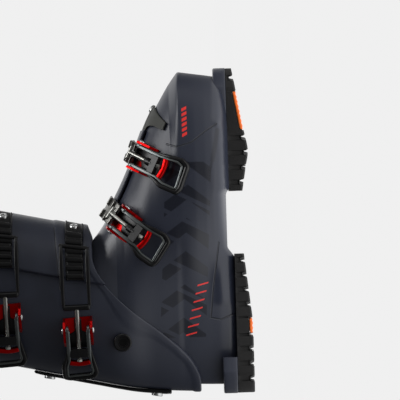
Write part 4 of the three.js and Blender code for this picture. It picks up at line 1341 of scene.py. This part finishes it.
# %% [markdown]
# ## Finishes
# Materials are wired in Python. A Wire is one output of a node, and arithmetic on it adds Math nodes,
# so a pattern reads like a formula. All patterns read Object coordinates, in metres.

# %% Wiring nodes


class Wire:
    """One node output. Adding, subtracting or multiplying makes the Math node for it."""

    def __init__(self, finish, socket):
        self.finish, self.socket = finish, socket

    def maths(self, operation, *values):
        """A Math node of that operation on values or wires."""
        return self.finish.node("Math", {"operation": operation}, dict(enumerate(values)))

    def __add__(self, other):
        return self.maths("ADD", self, other)

    def __radd__(self, other):
        return self.maths("ADD", other, self)

    def __sub__(self, other):
        return self.maths("SUBTRACT", self, other)

    def __rsub__(self, other):
        return self.maths("SUBTRACT", other, self)

    def __mul__(self, other):
        return self.maths("MULTIPLY", self, other)

    def __rmul__(self, other):
        return self.maths("MULTIPLY", other, self)

    def __abs__(self):
        return self.maths("ABSOLUTE", self)

    def fract(self):
        """The part after the decimal point."""
        return self.maths("FRACT", self)

    def sine(self):
        return self.maths("SINE", self)

    def root(self):
        return self.maths("SQRT", self)

    def least(self, other):
        return self.maths("MINIMUM", self, other)

    def most(self, other):
        return self.maths("MAXIMUM", self, other)

    def rise(self, start, stop):
        """0 below start, 1 above stop, smooth between. start may be the larger."""
        settings = {"interpolation_type": "SMOOTHSTEP"}
        if start < stop:
            return self.finish.node("MapRange", settings, {0: self, 1: start, 2: stop})
        return 1 - self.finish.node("MapRange", settings, {0: self, 1: stop, 2: start})


def strongest(wires):
    """The largest of several wires."""
    best, *others = wires
    for wire in others:
        best = best.most(wire)
    return best


class Finish:
    """A material with one Principled shader, and the coordinates that its patterns read."""

    def __init__(self, name, **constants):
        self.material = bpy.data.materials.new(name)
        self.material.use_nodes = True
        self.tree = self.material.node_tree
        self.shader = self.tree.nodes["Principled BSDF"]
        for socket, value in constants.items():
            self.set(socket, value)
        self.place = self.node("TexCoord", output="Object")
        self.x, self.y, self.z = (self.node("SeparateXYZ", {}, {0: self.place}, output=i) for i in range(3))

    def node(self, kind, settings=None, inputs=None, output=0):
        """Adds a node of a type: its settings first, then a value or a wire for each of its sockets."""
        made = self.tree.nodes.new("ShaderNode" + kind)
        for setting, value in (settings or {}).items():
            setattr(made, setting, value)
        for key, value in (inputs or {}).items():
            self.plug(made.inputs[key], value)
        return Wire(self, made.outputs[output])

    def plug(self, socket, value):
        """Links a wire to a socket, or sets the socket's own value."""
        if isinstance(value, Wire):
            self.tree.links.new(value.socket, socket)
        elif isinstance(value, tuple) and socket.type == "RGBA":
            socket.default_value = (*value, 1.0)
        else:
            socket.default_value = value

    def set(self, socket, value):
        """Sets or links one of the shader's sockets, named with underscores for spaces."""
        self.plug(self.shader.inputs[socket.replace("_", " ")], value)

    def colour(self, share, low, high):
        """A colour between two, by a Mix node."""
        return self.node("Mix", {"data_type": "RGBA"}, {0: share, 6: low, 7: high}, output=2)

    def noise(self, scale, detail=3.0, stretch=None):
        """Smooth noise from 0 to 1, with a number of grains to the metre, stretched along the axes."""
        where = self.place
        if stretch:
            where = self.node("Mapping", {}, {0: self.place, 3: stretch})
        return self.node("TexNoise", {}, {0: where, "Scale": scale, "Detail": detail})

    def bump(self, height, distance, strength=1.0):
        """Feeds the shader's normal from a height, whose full range is a distance in metres."""
        inputs = {"Strength": strength, "Distance": distance, "Height": height}
        self.set("Normal", self.node("Bump", {}, inputs))

    def beside(self, start, stop):
        """How far along and across a line in the side view a point lies, and the line's length."""
        (ax, _, az), (bx, _, bz) = world([start[0], 0, start[1]]), world([stop[0], 0, stop[1]])
        length = math.hypot(bx - ax, bz - az)
        dx, dz = (bx - ax) / length, (bz - az) / length
        along = (self.x - ax) * dx + (self.z - az) * dz
        across = (self.z - az) * dx - (self.x - ax) * dz
        return along, across, length

    def stroke(self, start, stop, width):
        """1 on a line in the side view between two (x, z) points in drawing millimetres, fading to 0."""
        along, across, length = self.beside(start, stop)
        past = along - along.most(0.0).least(length)
        return (past * past + across * across).root().rise(width * MM, width * MM * 0.35)

    def strokes(self, line, width):
        """The strongest of the strokes between neighbours in a list of points."""
        return strongest(self.stroke(start, stop, width) for start, stop in zip(line, line[1:]))

    def wear(self, *pieces):
        """Gives this finish to pieces."""
        for piece in pieces:
            piece.data.materials.clear()
            piece.data.materials.append(self.material)


# %% [markdown]
# The shell's plastic is a dark slate blue with a satin skin. A fine moulded grain breaks its gloss, and
# shallow lines are engraved in it and darkened as painted shade. The throat and the rolled lower edge are
# glossier, and the throat's colour is lightened as a painted highlight. A generic row of tonal chevrons
# runs along the foot, with two rows of red dashes, in place of any lettering.

# %% Shell plastic
NAVY = (0.017, 0.020, 0.033)
NAVY_DARK = (0.0075, 0.009, 0.016)
NAVY_LIGHT = (0.022, 0.026, 0.041)
THROAT_PAINTED_HIGHLIGHT = (0.060, 0.064, 0.080)
ENGRAVED_PAINTED_SHADE = (0.008, 0.009, 0.012)
SIGNAL_RED = (0.72, 0.03, 0.025)
# Engraved lines of the side view, in (x, z).
TOE_VEE = [(82.5, 75.5), (79.5, 66.5), (83.6, 52.3), (94.4, 38), (99.7, 29)]
HEEL_LINES = [(-10.6, 29.8), (-51.6, 36.2), (-80.5, 39.2), (-82.5, 30), (-76, 13)]
ARROW = [(94, 28), (78, 31), (66, 33.5), (49, 38.5)]
CUFF_LINE = [(8, 183.0), (-50, 178.6)]


def side_mask(f):
    """1 on the flanks of the boot, 0 along its middle."""
    return abs(f.y - float(SHIFT[1]) * MM).rise(0.020, 0.026)


def slanted_dashes(f, start, stop, count, half_height, fill, slant):
    """Dashes in a row between two (x, z) points: a band across it, cut at even steps that lean by slant."""
    along, across, length = f.beside(start, stop)
    leaning = along + across * slant
    ends = leaning.rise(-0.0001, 0.0) * leaning.rise(length, length - 0.0001)
    band = abs(across).rise(half_height * MM + 0.0001, half_height * MM - 0.0001)
    step = (leaning * (count / length)).fract()
    return ends * band * step.rise(fill + 0.03, fill - 0.03) * step.rise(0.0, 0.03)


def chevron_mask(f):
    """Angular chevrons along the foot: a stripe every 31 mm, bent about the band's middle line."""
    middle = 0.058 + (f.x - 0.03) * -0.06
    height = abs(f.z - middle)
    phase = ((f.x + height * 0.75) * (1 / 0.031)).fract()
    stripe = phase.rise(0.0, 0.015) * phase.rise(0.46, 0.44)
    notch = ((f.x * 1.9 - f.z) * (1 / 0.043)).fract().rise(0.18, 0.2)
    band = height.rise(0.0215, 0.0211)
    ends = f.x.rise(-0.098, -0.0975) * f.x.rise(0.066, 0.0655)
    return stripe * notch * band * ends * side_mask(f)


def shell_finish(name, engraved, graphics):
    """The satin plastic. engraved lists lines to cut and darken with painted shade, graphics adds chevrons,
    dashes, glossier parts and a painted highlight on the throat.
    """
    f = Finish(name, Specular_IOR_Level=0.4)
    cloud = f.noise(14.0, 4.0)
    grain = f.noise(2600.0, 2.0)
    base = f.colour(cloud, NAVY, NAVY_LIGHT)
    rough = 0.36 + cloud * 0.08 + grain * 0.06
    height = grain * 0.03
    if graphics:
        tone = chevron_mask(f)
        base = f.colour(tone, base, NAVY_DARK)
        rough = rough - tone * 0.1
        arrow = f.strokes(ARROW[:3], 3.0).most(f.strokes(ARROW[2:], 1.7)) * side_mask(f)
        base = f.colour(arrow * 0.8, base, NAVY_DARK)
        dashes = slanted_dashes(f, (89.5, 58.6), (118, 58.6), 6, 2.3, 0.62, 0.5)
        flank = slanted_dashes(f, (-96, 58), (-42, 44), 7, 4.6, 0.2, 0.55)
        red = dashes.most(flank) * side_mask(f)
        base = f.colour(red, base, SIGNAL_RED)
        throat = f.z.rise(0.1252, 0.1257)
        # Painted highlight: the throat's base colour is lightened towards a pale grey; its lower roughness is
        # real.
        base = f.colour(throat * 0.6, base, THROAT_PAINTED_HIGHLIGHT)
        rolled = f.z.rise(0.044, 0.030)
        rough = rough - throat * 0.14 - rolled * 0.13
    if engraved:
        cut = strongest(f.strokes(line, 0.9) for line in engraved)
        # Painted shade: the engraved lines are darkened in the base colour, besides being cut in by the bump.
        base = f.colour(cut * 0.75, base, ENGRAVED_PAINTED_SHADE)
        height = height - cut
    f.set("Base_Color", base)
    f.set("Roughness", rough)
    f.bump(height, 0.0008, 0.6)
    return f


objects = bpy.data.objects
pick = lambda *names: [objects[name] for name in names]
shell_finish("shell_satin", [TOE_VEE, HEEL_LINES], True).wear(*pick("shell_moulding"))
shell_finish("lap_satin", [], False).wear(*pick("instep_lap", "toe_lug", "heel_lug"))
shell_finish("cuff_satin", [CUFF_LINE], False).wear(*pick("cuff_moulding"))

# %% Rubber, seal and moulded trim


def moulded(name, dark, light, rough, grain_scale, depth, metal=0.0):
    """A moulded or cast skin: two close tones mottled by noise, and a grain of that depth in metres."""
    f = Finish(name, Metallic=metal, Specular_IOR_Level=0.25)
    mottle = f.noise(55.0, 5.0)
    grain = f.noise(grain_scale, 3.0)
    f.set("Base_Color", f.colour(mottle, dark, light))
    f.set("Roughness", rough - 0.08 + mottle * 0.1 + grain * 0.06)
    f.bump(grain, depth, 0.5)
    return f


def wearing(slot_name):
    """The pieces in a slot."""
    return [o for o in objects if o.get("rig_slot") == slot_name]


def dress(make, finishes):
    """Gives each slot's pieces the finish that make builds from the slot's name and numbers."""
    for slot_name, numbers in finishes.items():
        make(*numbers).wear(*wearing(slot_name))


MOULDED = {
    "sole_rubber": ("sole_rubber_black", (0.005, 0.005, 0.0055), (0.012, 0.0115, 0.011), 0.72, 1400, 0.0002),
    "seal_rubber": ("seal_rubber_grey", (0.030, 0.031, 0.027), (0.043, 0.044, 0.039), 0.6, 1800, 0.0001),
    "glide_orange": ("glide_orange_plastic", (0.78, 0.13, 0.02), (0.85, 0.19, 0.035), 0.45, 1500, 0.0001),
    "trim_black": ("trim_black_plastic", (0.003, 0.003, 0.0033), (0.006, 0.006, 0.0065), 0.3, 2200, 0.00004),
    "catch_grey": ("catch_cast_grey", (0.10, 0.10, 0.095), (0.24, 0.235, 0.22), 0.42, 900, 0.00035, 0.9),
}
dress(moulded, MOULDED)
board = moulded("board_grey", (0.055, 0.057, 0.062), (0.075, 0.077, 0.083), 0.6, 1500, 0.0001)
board.wear(frame["nodes"]["boot_board"])

# %% [markdown]
# ## Metals
# Red parts are anodised, so colour sits in a clear bright metal. The levers are gunmetal with fine
# brush lines. Screws and rivets are bright steel, and the bails' rods a duller one.

# %% Metals


def metal(name, dark, light, rough, brush, coat=0.0):
    """A metal: tones mixed by noise stretched along z, which also varies the gloss as brush lines do."""
    f = Finish(name, Metallic=1.0, Coat_Weight=coat, Coat_Roughness=0.12)
    lines = f.noise(900.0, 3.0, stretch=(1.0, 1.0, brush))
    patches = f.noise(70.0, 4.0)
    f.set("Base_Color", f.colour(patches, dark, light))
    f.set("Roughness", rough - 0.06 + lines * 0.14 + patches * 0.06)
    f.bump(lines, 0.00003, 0.4)
    return f


METALS = {
    "anodised_red": ("anodised_red_metal", (0.36, 0.001, 0.0012), (0.48, 0.002, 0.0022), 0.36, 1.0, 0.06),
    "lever_gunmetal": ("gunmetal", (0.085, 0.095, 0.095), (0.145, 0.155, 0.155), 0.36, 0.15),
    "steel": ("steel_bright", (0.42, 0.43, 0.43), (0.58, 0.58, 0.58), 0.24, 0.2),
}
dress(metal, METALS)
rods = [o for o in wearing("steel") if o.name.endswith(("bail_hook", "bail_rod"))]
metal("steel_rod_dull", (0.20, 0.20, 0.185), (0.30, 0.30, 0.28), 0.3, 0.2).wear(*rods)

# %% [markdown]
# ## Cloth
# The liner is a brushed knit, the strap a ribbed webbing. Both weaves are products of waves.

# %% Liner cloth and webbing


def woven(name, dark, light, pitch, rib, depth, sheen):
    """Two crossing waves of that pitch in metres make the threads, rib weighs the upright one."""
    f = Finish(name, Specular_IOR_Level=0.3, Sheen_Weight=sheen, Sheen_Roughness=0.4)
    turn = 2 * math.pi / pitch
    around = f.x + f.y
    threads = (around * turn).sine() * rib + (f.z * turn).sine() * (1 - rib)
    fuzz = f.noise(1500.0, 3.0)
    patches = f.noise(40.0, 3.0)
    tone = threads * 0.25 + 0.5 + (fuzz - 0.5) * 0.6
    f.set("Base_Color", f.colour((tone * 0.7 + patches * 0.3).least(1.0).most(0.0), dark, light))
    f.set("Roughness", 0.82 + fuzz * 0.15)
    f.bump(threads * 0.5 + fuzz * 0.5, depth, 0.7)
    return f


KNIT = ("liner_knit", (0.010, 0.011, 0.013), (0.035, 0.037, 0.043), 0.0016, 0.5, 0.0003, 0.25)
WEBBING = ("strap_webbing_weave", (0.008, 0.008, 0.009), (0.032, 0.032, 0.034), 0.0012, 0.15, 0.0003, 0.15)
dress(woven, {"liner_fabric": KNIT, "strap_webbing": WEBBING})

# %% [markdown]
# ## Floor and end
# The boot stands on a plain pale floor. A lit floor would darken away from the panels, so this one glows:
# the camera sees one even grey, while the boot's plastic sees a pool that is bright under the boot and
# dim farther out, which draws the soft highlight along its lower edge.

# %% Floor
FLOOR_SEEN = ((0.864, 0.864, 0.864), (0.868, 0.868, 0.868))
FLOOR_PAINT = ((0.004, 0.004, 0.004), (0.006, 0.006, 0.006))
GLOW_NEAR, GLOW_FAR = 2.0, 0.3
floor_mesh = bpy.data.meshes.new("floor")
floor_mesh.from_pydata([(-6, -3, 0), (6, -3, 0), (6, 9, 0), (-6, 9, 0)], [], [(0, 1, 2, 3)])
floor = bpy.data.objects.new("floor", floor_mesh)
bpy.context.scene.collection.objects.link(floor)
paint = Finish("floor_paint", Specular_IOR_Level=0.0, Roughness=1.0, Emission_Strength=1.0)
paint.set("Base_Color", paint.colour(paint.noise(3.0), *FLOOR_PAINT))
glow = paint.colour(paint.noise(3.0), *FLOOR_SEEN)
paint.set("Emission_Color", glow)
near = paint.node("Emission", {}, {"Color": glow, "Strength": GLOW_NEAR})
far = paint.node("Emission", {}, {"Color": glow, "Strength": GLOW_FAR})
share = abs(paint.y + 0.08).rise(0.22, 0.04) * abs(paint.x).rise(0.36, 0.12)
bounce = paint.node("MixShader", {}, {0: share, 1: far, 2: near})
straight = paint.node("LightPath", output="Is Camera Ray")
shown = paint.node("MixShader", {}, {0: straight, 1: bounce, 2: Wire(paint, paint.shader.outputs[0])})
paint.tree.links.new(shown.socket, paint.tree.nodes["Material Output"].inputs["Surface"])
paint.wear(floor)
